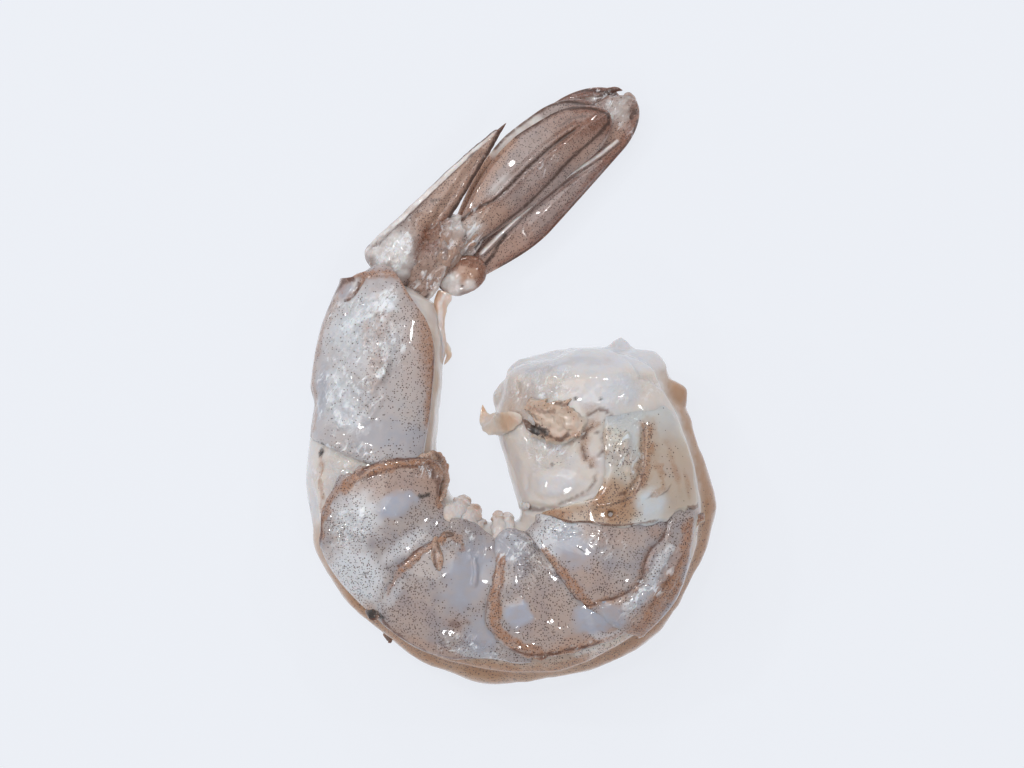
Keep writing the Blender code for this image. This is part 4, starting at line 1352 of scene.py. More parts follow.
@dataclass(frozen=True)
class TailRing:
    """The whole ring of shell round segment 6, wet and wrinkled."""

    front: tuple[float, float] = (10.4, 9.45)
    rear: Path = ((0, 12.85), (0.22, 12.95), (0.5, 13.3), (0.7, 13.3), (0.85, 13), (1, 12.6))
    belly_angle: float = 140.0
    corner_rounding: float = 0.10
    gap: float = 0.28
    thickness: float = 0.34
    size: tuple[float, float] = (26.0, 40.0)
    skin_waves: Waves = Waves(0.04, 1.3, 11)
    crinkles: tuple[Waves, ...] = (Waves(0.18, 1.0, 12), Waves(0.13, 0.5, 13))
    dense_from: tuple[float, float] = (70.0, 112.0)
    rows: int = 170
    columns: int = 230
    paint: Paint = field(default_factory=lambda: coats(
        rim=(Patch(12.1, 132, 6, 1.6, 1.2, 0.8, 0.3),
            Stroke((13.25, 96, 13.05, 112, 12.75, 130, 12.3, 138, 11.5, 136, 10.6, 138),
                0.3, 0.7, 0.85, 0.3), Stroke((12.95, 0, 13, 34, 13.1, 60, 13.25, 86), 0.3, 0.5, 0.85, 0.3),
            Stroke((12.9, 22, 12.4, 18, 11.75, 12, 11.2, 10, 10.6, 16), 0.3, 0.8, 0.6, 0.4),
            Stroke((12.95, 44, 12.75, 41, 12.6, 36), 0.12, 0.3, 0.9)),
        line=(Stroke((13.2, 102, 13, 120, 12.7, 132, 12.2, 138, 11.4, 137, 10.6, 139),
                0.07, 0.25, 0.75, 0.2),
            Stroke((12.9, 30, 12.78, 20, 12.5, 10, 12, 4, 11.3, 2, 10.8, 4, 10.4, 12), 0.2, 0.5, 0.9, 0.2),
            Stroke((12.88, 41, 12.7, 40, 12.56, 34), 0.08, 0.2, 0.9, 0.1)),
        soot=(Patch(10.3, 38, 0.35, 0.4, 0.7, 0.8, 0.4), Patch(11.4, 92, 1.6, 0.4, 1.2, 0.35, 0.5, turn=10)),
        milk=(Patch(10.35, 108, 2.2, 4.6, 1, 0.4, 0.3), Patch(12.7, 28, 1, 0.9, 0.4, 0.9),
            Patch(11, 26, 4, 1, 1, 0.7)),
        clear=(Patch(11.2, 74, 15, 8.5, 0.5, 0.35, 0.2), Patch(12.1, 60, 4.6, 3.2, 1.2, 0.95, 0.25),
            Patch(11, 50, 3.2, 3, 1.2, 0.7, 0.25), Patch(11.9, 90, 2.6, 1.6, 1.2, 0.7, 0.25),
            Stroke((12, 42, 12.3, 56, 12.55, 74, 12.7, 84), 0.7, 1.2, 1, 0.5),
            Stroke((11.3, 44, 10.9, 56, 10.7, 68), 0.8, 1.2, 0.9, 0.5)),
        crinkle=(Patch(12.1, 58, 4.4, 3.6, 1, 1, 0.25), Patch(11, 52, 3.8, 4, 1, 1, 0.25),
            Patch(11.8, 90, 3.2, 2, 1, 0.9, 0.25), Patch(10.2, 62, 1.2, 4, 1, 0.9, 0.25)),
        tan=(Patch(11.9, 118, 7.5, 3, 1.2, 0.6, 0.3),),
        # Painted highlights: white smears along the wet folds.
        shine=(Stroke((12.1, 44, 12.3, 56, 12.55, 74, 12.65, 84), 0.35, 0.4, 0.9, 0.5),
            Stroke((11.9, 86, 11.65, 90, 11.35, 86), 0.15, 0.3, 0.9, 0.35),
            Stroke((11.35, 44, 11.05, 55, 10.9, 65), 0.15, 0.3, 0.9, 0.4),
            Stroke((11.1, 40, 10.8, 50, 10.6, 60), 0.12, 0.3, 0.9, 0.4),
            Stroke((11.5, 52, 11.25, 62, 11.1, 72), 0.1, 0.3, 0.9, 0.4),
            Patch(12.75, 84, 1.6, 0.9, 0.8, 0.8, 0.4)),
    ))
    relief: Relief = ((0.22, Stroke((12.1, 46, 12.3, 58, 12.55, 76, 12.65, 86), 0.25, 0.9, 1, 0.35)),
        (0.22, Stroke((11.7, 50, 11.95, 58, 12.15, 68), 0.15, 0.7, 1, 0.35)),
        (0.2, Stroke((12.1, 88, 11.8, 92, 11.5, 90, 11.25, 84), 0.1, 0.6, 1, 0.3)),
        (0.16, Stroke((11.35, 44, 11, 56, 10.8, 70), 0.1, 0.6, 1, 0.35)),
        (0.16, Stroke((11.1, 40, 10.8, 50, 10.6, 62), 0.1, 0.6, 1, 0.35)),
        (0.16, Stroke((11.5, 56, 11.3, 68, 11.15, 80), 0.1, 0.5, 1, 0.35)),
        (0.2, Stroke((10.7, 84, 10.9, 88, 11.05, 92), 0.05, 0.4)),
        (-0.35, Stroke((12.95, 44, 12.75, 41, 12.6, 36), 0.1, 0.5, 1, 0)),
        (0.2, Stroke((12.95, 0, 13, 34, 13.1, 60, 13.25, 86), 0.15, 0.5, 1, 0.1)),
        (0.42, Stroke((11.4, 0, 12, 0, 12.8, 0), 1.5, 3, 1, 0)), (0.7, Spot((-18.6, 14.2, 7), 3)))

    def build(self) -> Piece:
        """Make the ring.

        Returns:
            The ring of shell.
        """
        length, across = paired(np.linspace(0, 1, self.rows), np.linspace(-1, 1, self.columns))
        from_back = np.abs(across)
        front = self.front[0] + (self.front[1] - self.front[0]) * from_back**2
        station = front + (read(self.rear, from_back) - front) * length
        angle = self.belly_angle * (1 - self.corner_rounding * (2 * length - 1) ** 4) * across
        skin, normal = CURL.flesh(station, angle), CURL.normal(station, angle)
        edge = edge_share(self.rows, self.columns, self.size)
        charts = [CURL.chart(side) for side in (1, -1)]
        both = [painted(self.paint, chart, skin) for chart in charts]
        layers = {key: np.maximum(both[0][key], both[1][key]) for key in Layer}
        rise = sum(raised(self.relief, chart, skin) for chart in charts) + self.skin_waves.at(skin)
        rise += layers[Layer.CRINKLE] * summed(self.crinkles, skin)
        outer, inner = shell_sides(skin + normal * self.gap, normal, edge, rise, self.thickness)
        density = 0.25 + 0.60 * smooth(*self.dense_from, np.abs(angle))
        layers[Layer.SPECKS] = density * (1 - 0.3 * np.clip(ripple(outer, 2.0, 9), 0, 1))
        mesh = sheet_mesh("shell_6", outer, inner, self.columns, layers)
        return Piece("skin_shell_6", mesh, "shell_6", SHELL_FINISH, Slot.SHELL)


@dataclass(frozen=True)
class NeckMembrane:
    """The torn, crumpled skin that hangs at the neck."""

    stations: tuple[float, float] = (0.30, 1.12)
    angles: tuple[float, float] = (97.0, 128.0)
    gap: float = 0.4
    thickness: float = 0.25
    size: tuple[float, float] = (7.0, 9.0)
    ragged: tuple[Waves, ...] = (Waves(0.05, 1.2, 21), Waves(0.03, 0.5, 22))
    crumple: tuple[Waves, ...] = (Waves(0.16, 1.6, 23), Waves(0.07, 0.7, 24))
    folds: Waves = Waves(0.2, 2.2, 25)
    lift: float = 0.15
    rows: int = 90
    columns: int = 100
    paint: Paint = field(default_factory=lambda: coats(
        rim=(Stroke((0.4, 128, 0.7, 128, 1, 122, 1.15, 112, 1.1, 100), 0.2, 0.5, 0.7, 0.3),
            Patch(0.55, 100, 1.4, 1, 1, 0.5, 0.4), Patch(0.5, 118, 1, 1.6, 1, 0.4, 0.4)),
        line=(Stroke((0.95, 126, 1.08, 118, 1.16, 110, 1.1, 104), 0.08, 0.3, 0.8, 0.2),
            Stroke((0.42, 112, 0.5, 104, 0.45, 98), 0.05, 0.2, 0.6, 0.2),
            Stroke((0.6, 124, 0.7, 116, 0.66, 110), 0.05, 0.25, 0.5, 0.2)),
        soot=(Stroke((0.8, 130, 0.95, 124, 1.06, 117), 0.2, 0.3, 0.9, 0.25),
            Patch(0.45, 106, 0.3, 0.25, 0.8, 0.5, 0.4)),
        tan=(Patch(0.7, 110, 3, 4, 1, 0.5, 0.3),),
    ))

    def build(self) -> Piece:
        """Make the membrane.

        Returns:
            The crumpled sheet.
        """
        length, across = paired(np.linspace(0, 1, self.rows), np.linspace(0, 1, self.columns))
        flat = np.column_stack([length * self.size[0], across * self.size[1], np.zeros(len(length))])
        ragged = summed(self.ragged, flat)
        front, rear = self.stations
        back, belly = self.angles
        station = front + (rear - front) * (length + 0.12 * np.sin(math.pi * across) + ragged)
        angle = back + (belly - back) * (across + 0.10 * np.sin(2 * math.pi * length) + ragged)
        skin, normal = CURL.flesh(station, angle), CURL.normal(station, angle)
        crumple = self.lift + summed(self.crumple, flat) + np.abs(self.folds.at(flat))
        edge = edge_share(self.rows, self.columns, self.size)
        inner = skin + normal * (self.gap + crumple * edge)[:, None]
        outer = inner + normal * (self.thickness * (0.3 + 0.7 * edge))[:, None]
        layers = painted(self.paint, CURL.chart(1), skin)
        layers[Layer.SPECKS] = 0.25 * np.clip(ripple(outer, 1.5, 26) + 0.4, 0, 1)
        mesh = sheet_mesh("membrane", outer, inner, self.columns, layers)
        return Piece("skin_neck_membrane", mesh, "neck_membrane", SHRED_FINISH, Slot.FLESH)


# The tail fan


@dataclass(frozen=True)
class Blade:
    """One blade of the tail fan, from its root to its tip."""

    node: str
    root: tuple[float, float, float]
    tip: tuple[float, float, float]
    half_width: float
    bow: float
    roll: float
    crown: float
    rib: float
    root_share: float
    widest: float
    round_from: float
    paint: Paint
    relief: Relief
    specks: float = 0.9
    taper: float = 0.22
    tip_width: float = 0.12
    rib_width: float = 0.2
    thickness: float = 0.34
    hidden_root: float = 0.13
    row_spread: float = 1.3
    size: tuple[float, float] = (24.0, 7.5)
    rows: int = 160
    columns: int = 70

    def axes(self) -> tuple[Array, Array, Array]:
        """The blade's own directions: along it, across it and up from it."""
        heading = np.array(self.tip) - np.array(self.root)
        heading /= np.linalg.norm(heading)
        aside = np.cross(heading, UP)
        aside /= np.linalg.norm(aside)
        roll = math.radians(self.roll)
        aside = aside * math.cos(roll) + np.cross(heading, aside) * math.sin(roll)
        return heading, aside, np.cross(aside, heading)

    def chart(self, length: Array, across: Array) -> Array:
        """Place points on the blade's under side.

        Args:
            length: Share from the root to the tip.
            across: Share of the half width, -1 at the telson's side.

        Returns:
            The points in mm.
        """
        _, aside, upward = self.axes()
        root, tip = np.array(self.root), np.array(self.tip)
        opening = np.sin(math.pi / 2 * np.minimum(length / self.widest, 1))
        grown = self.root_share + (1 - self.root_share) * opening
        narrow = 1 - self.taper * np.maximum(0, (length - self.widest) / (1 - self.widest))
        past = np.clip((length - self.round_from) / (1 - self.round_from), 0, 1)
        width = np.maximum(grown * narrow * np.sqrt(1 - past**2), self.tip_width)
        sideways = self.bow * np.sin(math.pi * length) + across * self.half_width * width
        up = self.crown * (1 - across**2) + self.rib * np.exp(-((across / self.rib_width) ** 2))
        place = root + (tip - root) * length[:, None] + aside * sideways[:, None] + upward * up[:, None]
        return place + SHIFT

    def build(self) -> Piece:
        """Make the blade.

        Returns:
            The blade.
        """
        share = 1 - np.linspace(1, 0, self.rows) ** self.row_spread
        share = share * (1 + self.hidden_root) - self.hidden_root
        length, across = paired(share, np.linspace(-1, 1, self.columns))
        flat, upward = self.chart(length, across), self.axes()[2]
        edge = edge_share(self.rows, self.columns, self.size)
        rise = raised(self.relief, self.chart, flat) + 0.03 * ripple(flat, 1.5, 31)
        outer = flat + upward * (self.thickness * (0.3 + 0.7 * edge) + rise * edge)[:, None]
        inner = flat + upward * (np.maximum(rise, -0.2) * edge * INNER_RELIEF)[:, None]
        layers = painted(self.paint, self.chart, flat)
        layers[Layer.SPECKS] = self.specks * (1 - 0.2 * np.clip(ripple(outer, 2.0, 32), 0, 1))
        mesh = sheet_mesh(self.node, outer, inner, self.columns, layers)
        return Piece(f"skin_{self.node}", mesh, self.node, FAN_FINISH, Slot.FAN)


ENDOPOD_NEAR = Blade(
    "endopod_near", (-5.7, 18.6, 5.4), (12.1, 34, 4.7), 4.1, -1.3, 3, 0.6, 0.35, 0.42, 0.55, 0.76,
    paint=coats(
        line=(Stroke((0.02, -0.94, 0.16, -0.36, 0.26, -0.06, 0.46, -0.04, 0.68, -0.1, 0.8, -0.12),
                0.05, 0.3, 0.95, 0.06),
            Stroke((0.04, 0.92, 0.3, 0.86, 0.52, 0.74, 0.74, 0.58, 0.95, 0.56), 0.06, 0.28, 0.95, 0.06),
            Stroke((0.54, -0.98, 0.72, -0.98, 0.85, -0.96, 0.95, -0.7, 0.99, 0.1, 0.96, 0.7),
                0.08, 0.24, 0.95, 0.08), Stroke((0.76, -0.5, 0.84, -0.52, 0.9, -0.4), 0.03, 0.2, 0.5, 0.1)),
        rim=(Patch(0.95, 0, 2.6, 2.8, 1, 0.95, 0.2), Patch(0.84, -0.3, 3.6, 2.8, 1.2, 0.6, 0.2),
            Stroke((0.02, -0.94, 0.2, -0.98, 0.4, -0.98), 0.15, 0.6, 0.35, 0.2),
            Stroke((0.1, -0.6, 0.26, 0.06, 0.46, 0.1, 0.68, 0.04, 0.82, -0.04), 0.2, 0.8, 0.45, 0.2),
            Stroke((0.04, 0.8, 0.3, 0.72, 0.52, 0.62, 0.74, 0.5), 0.2, 0.8, 0.45, 0.2)),
        tan=(Patch(0.14, 0.4, 3, 2.4, 1, 0.6, 0.2),
            Stroke((0, -0.8, 0.15, -0.85, 0.35, -0.9, 0.5, -0.95), 0.5, 0.8, 0.6, 0.2),
            Patch(0.8, 0, 4, 4, 1.2, 0.4, 0.2)),
        milk=(Patch(0.31, -0.3, 1.8, 0.6, 1, 0.45), Patch(0.05, -0.2, 1.6, 1.6, 1, 0.4, 0.3)),
        crinkle=(Patch(0.05, 0, 2.4, 2.6, 1, 0.7, 0.2), Patch(0.55, 0.3, 2, 0.7, 1, 0.5, 0.2)),
    ),
    relief=((0.26,
            Stroke((0.16, -0.3, 0.26, -0.2, 0.46, -0.18, 0.68, -0.24, 0.82, -0.26), 0.08, 0.5, 1, 0.05)),
        (-0.2,
            Stroke((0.06, -0.8, 0.16, -0.36, 0.26, -0.02, 0.46, 0, 0.68, -0.06, 0.82, -0.1),
                0.05, 0.4, 1, 0.05)),
        (0.25, Stroke((0.1, 0.4, 0.3, 0.5, 0.52, 0.42, 0.74, 0.3), 0.5, 1, 1, 0.1))),
)

EXOPOD_NEAR = Blade(
    "exopod_near", (-4.1, 15.8, 3.6), (15.4, 35.7, 3), 3.95, 0.1, 3, 0.5, 0.35, 0.6, 0.3, 0.8,
    paint=coats(
        line=(Stroke((0.02, 0.08, 0.27, 0.08, 0.49, 0.24, 0.7, 0.58, 0.81, 0.72), 0.03, 0.14, 0.7, 0.05),
            Stroke((0.02, -0.3, 0.27, -0.2, 0.49, -0.06, 0.7, 0.32, 0.81, 0.48), 0.03, 0.14, 0.6, 0.06),
            Stroke((0.04, 0.98, 0.27, 0.98, 0.5, 0.98, 0.7, 0.98, 0.85, 0.97, 0.94, 0.95),
                0.1, 0.2, 1, 0.06),
            Stroke((-0.04, 0.46, 0.03, 0.36, 0.09, 0.2, 0.15, 0.08), 0.12, 0.25, 1, 0.1)),
        rim=(Stroke((0.62, 0.92, 0.74, 0.88, 0.85, 0.84, 0.94, 0.74, 0.98, 0.3), 0.3, 1, 0.85, 0.3),
            Stroke((0.04, 0.9, 0.3, 0.88, 0.6, 0.86), 0.15, 0.6, 0.6, 0.2)),
        tan=(Patch(0.1, 0.6, 4, 2, 1, 0.5, 0.2), Patch(0.86, 0.6, 4, 2, 1, 0.6, 0.2)),
        # The milk stroke is a painted highlight along the raised ridge.
        milk=(Stroke((0.02, -0.12, 0.27, -0.06, 0.49, 0.08, 0.7, 0.44, 0.81, 0.6), 0.14, 0.14, 1, 0.04),
            Patch(0.93, -0.1, 2, 1.6, 1, 0.5, 0.3)),
        crinkle=(Patch(0.93, 0, 2.6, 2.6, 1, 1, 0.2),),
    ),
    relief=((0.3, Stroke((0.02, -0.1, 0.27, -0.04, 0.49, 0.1, 0.7, 0.46, 0.81, 0.62), 0.1, 0.35, 1, 0)),
        (-0.15, Stroke((0.02, 0.14, 0.27, 0.14, 0.49, 0.28, 0.7, 0.62), 0.05, 0.4, 1, 0)),
        (0.3, Stroke((0.27, 0.55, 0.49, 0.62, 0.66, 0.75), 0.4, 1, 1, 0.1))),
)

ENDOPOD_FAR = Blade(
    "endopod_far", (-6.2, 18.6, 2.3), (10.3, 35.1, 1.7), 4.2, -0.9, 2, 0.4, 0.3, 0.42, 0.55, 0.76,
    paint=coats(
        line=(Stroke((0.45, -0.98, 0.7, -0.98, 0.9, -0.9, 0.99, 0), 0.1, 0.25, 0.9, 0.1),),
        rim=(Patch(0.95, 0, 2.2, 2.4, 1, 0.7, 0.2),),
        tan=(Stroke((0, -0.9, 0.2, -0.9, 0.4, -0.9), 1, 0.6, 0.9, 0.1),),
        milk=(Stroke((0.46, -0.9, 0.55, -0.8, 0.7, -0.8), 0.8, 0.8, 0.8, 0.1),),
    ),
    relief=(), rows=80, columns=40,
)

EXOPOD_FAR = Blade(
    "exopod_far", (-6.2, 18.2, 1), (13.2, 36.6, 0.35), 3.9, -1.6, 0, 0.3, 0.3, 0.5, 0.4, 0.78,
    paint=coats(
        line=(Stroke((0.2, -0.98, 0.4, -0.98, 0.7, -0.98, 0.9, -0.95, 0.99, 0), 0.1, 0.25, 1, 0.1),
            Stroke((0.74, -0.62, 0.84, -0.5, 0.96, -0.3), 0.04, 0.2, 0.6, 0.1)),
        rim=(Stroke((0.55, -0.9, 0.7, -0.92, 0.88, -0.85, 0.97, -0.5), 0.25, 0.7, 0.9, 0.2),
            Patch(0.97, 0, 1.5, 2.4, 1, 0.6, 0.2)),
        milk=(Stroke((0.7, -0.75, 0.8, -0.62, 0.9, -0.42, 0.98, -0.3), 0.16, 0.25, 0.95, 0.1),
            Stroke((0.3, -0.8, 0.45, -0.8, 0.6, -0.7), 0.5, 0.7, 0.6, 0.1)),
        crinkle=(Patch(0.9, -0.5, 2.6, 2, 1, 0.8, 0.2),),
    ),
    relief=((0.25, Stroke((0.7, -0.85, 0.88, -0.7, 0.97, -0.4), 0.15, 0.4, 1, 0)),),
    rows=90, columns=46,
)

BLADES = (ENDOPOD_NEAR, EXOPOD_NEAR, ENDOPOD_FAR, EXOPOD_FAR)


@dataclass(frozen=True)
class Tube:
    """A piece closed all round, spread from one tip to the other. Each kind gives its own chart."""

    name: str
    node: str
    finish: WetFinish
    slot: Slot
    paint: Paint = field(default_factory=dict)
    relief: Relief = ()
    specks: float = 0.0
    wrinkle: float = 0.04
    rings: int = 90
    sides: int = 90
    tip_fade: float = 0.06
    crinkles: tuple[Waves, ...] = (Waves(0.20, 0.9, 53), Waves(0.15, 0.5, 54))

    def chart(self, length: Array, turn: Array) -> Array:
        """Place points: share from the first tip to the last, and degrees round it with 90 on top."""
        raise NotImplementedError

    def build(self) -> Piece:
        """Make the piece.

        Returns:
            The piece.
        """
        share = np.linspace(0.0, 1.0, self.rings + 2)[1:-1]
        length, turn = paired(share, np.linspace(-180, 180, self.sides, endpoint=False))
        points = self.chart(length, turn)
        normals = surface_normals(points.reshape(self.rings, self.sides, 3))
        layers = painted(self.paint, self.chart, points)
        rise = raised(self.relief, self.chart, points)
        rise += self.wrinkle * (ripple(points, 1.1, 51) + 0.5 * ripple(points, 0.45, 52) - 0.3)
        rise += layers[Layer.CRINKLE] * summed(self.crinkles, points)
        rise *= smooth(0.0, self.tip_fade, np.minimum(length, 1 - length))
        layers[Layer.SPECKS] = np.maximum(layers[Layer.SPECKS], self.specks)
        tips = self.chart(np.array([0.0, 1.0]), np.zeros(2))
        mesh = tube_mesh(self.name, points + normals * rise[:, None], self.sides, tips, layers)
        return Piece(self.name, mesh, self.node, self.finish, self.slot)


@dataclass(frozen=True)
class Telson(Tube):
    """The solid spike in the middle of the tail."""

    root: tuple[float, float, float] = (-16.5, 13.4, 6.4)
    tip: tuple[float, float, float] = (-0.7, 32.7, 6.4)
    sizes: tuple[float, float] = (3.75, 1.9)
    bow: float = -0.12
    root_share: float = 0.10
    taper: float = 0.84
    edge: float = 1.15

    def chart(self, length: Array, turn: Array) -> Array:
        """Place points on the spike, from its blunt root to its point."""
        root, tip = np.array(self.root), np.array(self.tip)
        heading = (tip - root) / np.linalg.norm(tip - root)
        aside = np.cross(heading, UP)
        aside /= np.linalg.norm(aside)
        upward = np.cross(aside, heading)
        opening = 1 - np.maximum(0.0, 1 - length / self.root_share) ** 3
        girth = np.sqrt(opening) * np.maximum(1 - length, 0.0) ** self.taper
        sideways = self.sizes[0] * girth * signed_power(np.cos(np.radians(turn)), self.edge)
        sideways = sideways + self.bow * np.sin(math.pi * length)
        up = self.sizes[1] * girth * signed_power(np.sin(np.radians(turn)), self.edge)
        place = root + (tip - root) * length[:, None] + aside * sideways[:, None] + upward * up[:, None]
        return place + SHIFT


@dataclass(frozen=True)
class Lump(Tube):
    """A rounded joint at the root of the tail fan."""

    centre: tuple[float, float, float] = (0.0, 0.0, 0.0)
    sizes: tuple[float, float, float] = (1.0, 1.0, 1.0)
    heading: float = 0.0

    def chart(self, length: Array, turn: Array) -> Array:
        """Place points on the lump."""
        polar, turn = math.pi * length, np.radians(turn)
        shape = np.column_stack([-np.cos(polar), np.sin(polar) * np.cos(turn), np.sin(polar) * np.sin(turn)])
        heading = math.radians(self.heading)
        cos, sin = math.cos(heading), math.sin(heading)
        spin = np.array([[cos, sin, 0.0], [-sin, cos, 0.0], [0.0, 0.0, 1.0]])
        return (shape * self.sizes) @ spin + self.centre + SHIFT


@dataclass(frozen=True)
class Shred(Tube):
    """A torn bit of skin or leg root: a flat tube along a bent line of places."""

    spine: tuple[tuple[float, float, float], ...] = ()
    widths: tuple[float, ...] = ()
    thickness: float = 0.5
    on_body: bool = True
    ragged: float = 0.25
    reach: float = 0.02

    def chart(self, length: Array, turn: Array) -> Array:
        """Place points along the shred.

        On the body its spine is given as station, angle and lift, else as a place in mm.
        """
        rows = np.array(self.spine)
        if self.on_body:
            rows = CURL.flesh(*rows.T[:2]) + CURL.normal(*rows.T[:2]) * rows[:, 2:]
        else:
            rows = rows + SHIFT
        place = along(rows, length * (len(rows) - 1))
        ahead = along(rows, np.minimum(length + self.reach, 1.0) * (len(rows) - 1))
        ahead -= along(rows, np.maximum(length - self.reach, 0.0) * (len(rows) - 1))
        ahead /= np.linalg.norm(ahead, axis=1)[:, None]
        aside = np.cross(ahead, UP)
        aside /= np.maximum(np.linalg.norm(aside, axis=1), 1e-6)[:, None]
        upward = np.cross(aside, ahead)
        width = along(np.array(self.widths)[:, None], length * (len(self.widths) - 1))[:, 0]
        rough = ripple(place * 1.3 + turn[:, None] / 200, 0.8, 61)
        width = np.maximum(width, 0.02) * (1 + self.ragged * rough)
        round_end = np.sqrt(np.clip(1 - (2 * length - 1) ** 10, 0.0, 1.0))
        wide = aside * (width * np.cos(np.radians(turn)) * round_end)[:, None]
        half = np.minimum(self.thickness / 2, width) * round_end
        return place + wide + upward * (half * np.sin(np.radians(turn)))[:, None]


TELSON = Telson(
    "skin_telson", "telson", FAN_FINISH, Slot.FAN, rings=170, sides=120, specks=0.9, wrinkle=0.06,
    paint=coats(
        # The first milk stroke is a painted highlight along the upper edge.
        milk=(Stroke((0.04, 160, 0.2, 152, 0.4, 152, 0.7, 150, 0.93, 146), 0.22, 0.12, 1, 0.05),
            Patch(0.15, 96, 3.2, 2.2, 1, 0.95, 0.3), Patch(0.1, 96, 2.4, 2.4, 0.8, 0.8, 0.3)),
        line=(Stroke((0.3, 12, 0.45, 12, 0.7, 14, 0.98, 30), 0.28, 0.4, 1, 0.08),
            Stroke((0.12, 136, 0.3, 138, 0.55, 136, 0.8, 130), 0.03, 0.12, 0.7, 0.05),
            Stroke((0.02, 172, 0.3, 169, 0.6, 168, 0.95, 165), 0.05, 0.1, 1, 0.03),
            Stroke((0.46, 116, 0.49, 98), 0.06, 0.3, 0.7),
            Stroke((0.34, 60, 0.42, 70), 0.06, 0.4, 0.5, 0.25)),
        rim=(Patch(0.27, 50, 2.6, 1.4, 1, 0.95, 0.4), Patch(0.36, 36, 2.6, 0.9, 1, 0.7, 0.4),
            Patch(0.97, 90, 1.4, 1, 1, 0.95, 0.2), Stroke((0.3, 40, 0.55, 30, 0.8, 30), 0.3, 0.8, 0.45, 0.3),
            Patch(0.02, 100, 0.6, 3, 1, 0.6, 0.4)),
        crinkle=(Patch(0.15, 104, 4.4, 2.6, 1, 1, 0.3),),
        # Painted highlights: white smears at the telson's root.
        shine=(Stroke((0.05, 112, 0.15, 104, 0.24, 100), 0.25, 0.4, 0.9, 0.5),
            Stroke((0.08, 78, 0.16, 74, 0.23, 82), 0.15, 0.3, 0.9, 0.4)),
        tan=(Patch(0.66, 70, 9, 2.4, 1, 0.6), Patch(0.32, 60, 3, 2, 1, 0.6)),
    ),
    relief=((0.22, Stroke((0.1, 156, 0.4, 158, 0.7, 160, 0.93, 156), 0.12, 0.35, 1, 0)),
        (-0.25, Stroke((0.3, 62, 0.55, 70, 0.8, 80), 0.1, 0.7, 1, 0.1)), (1, Patch(0.13, 92, 3.2, 2.6, 1.6))),
)

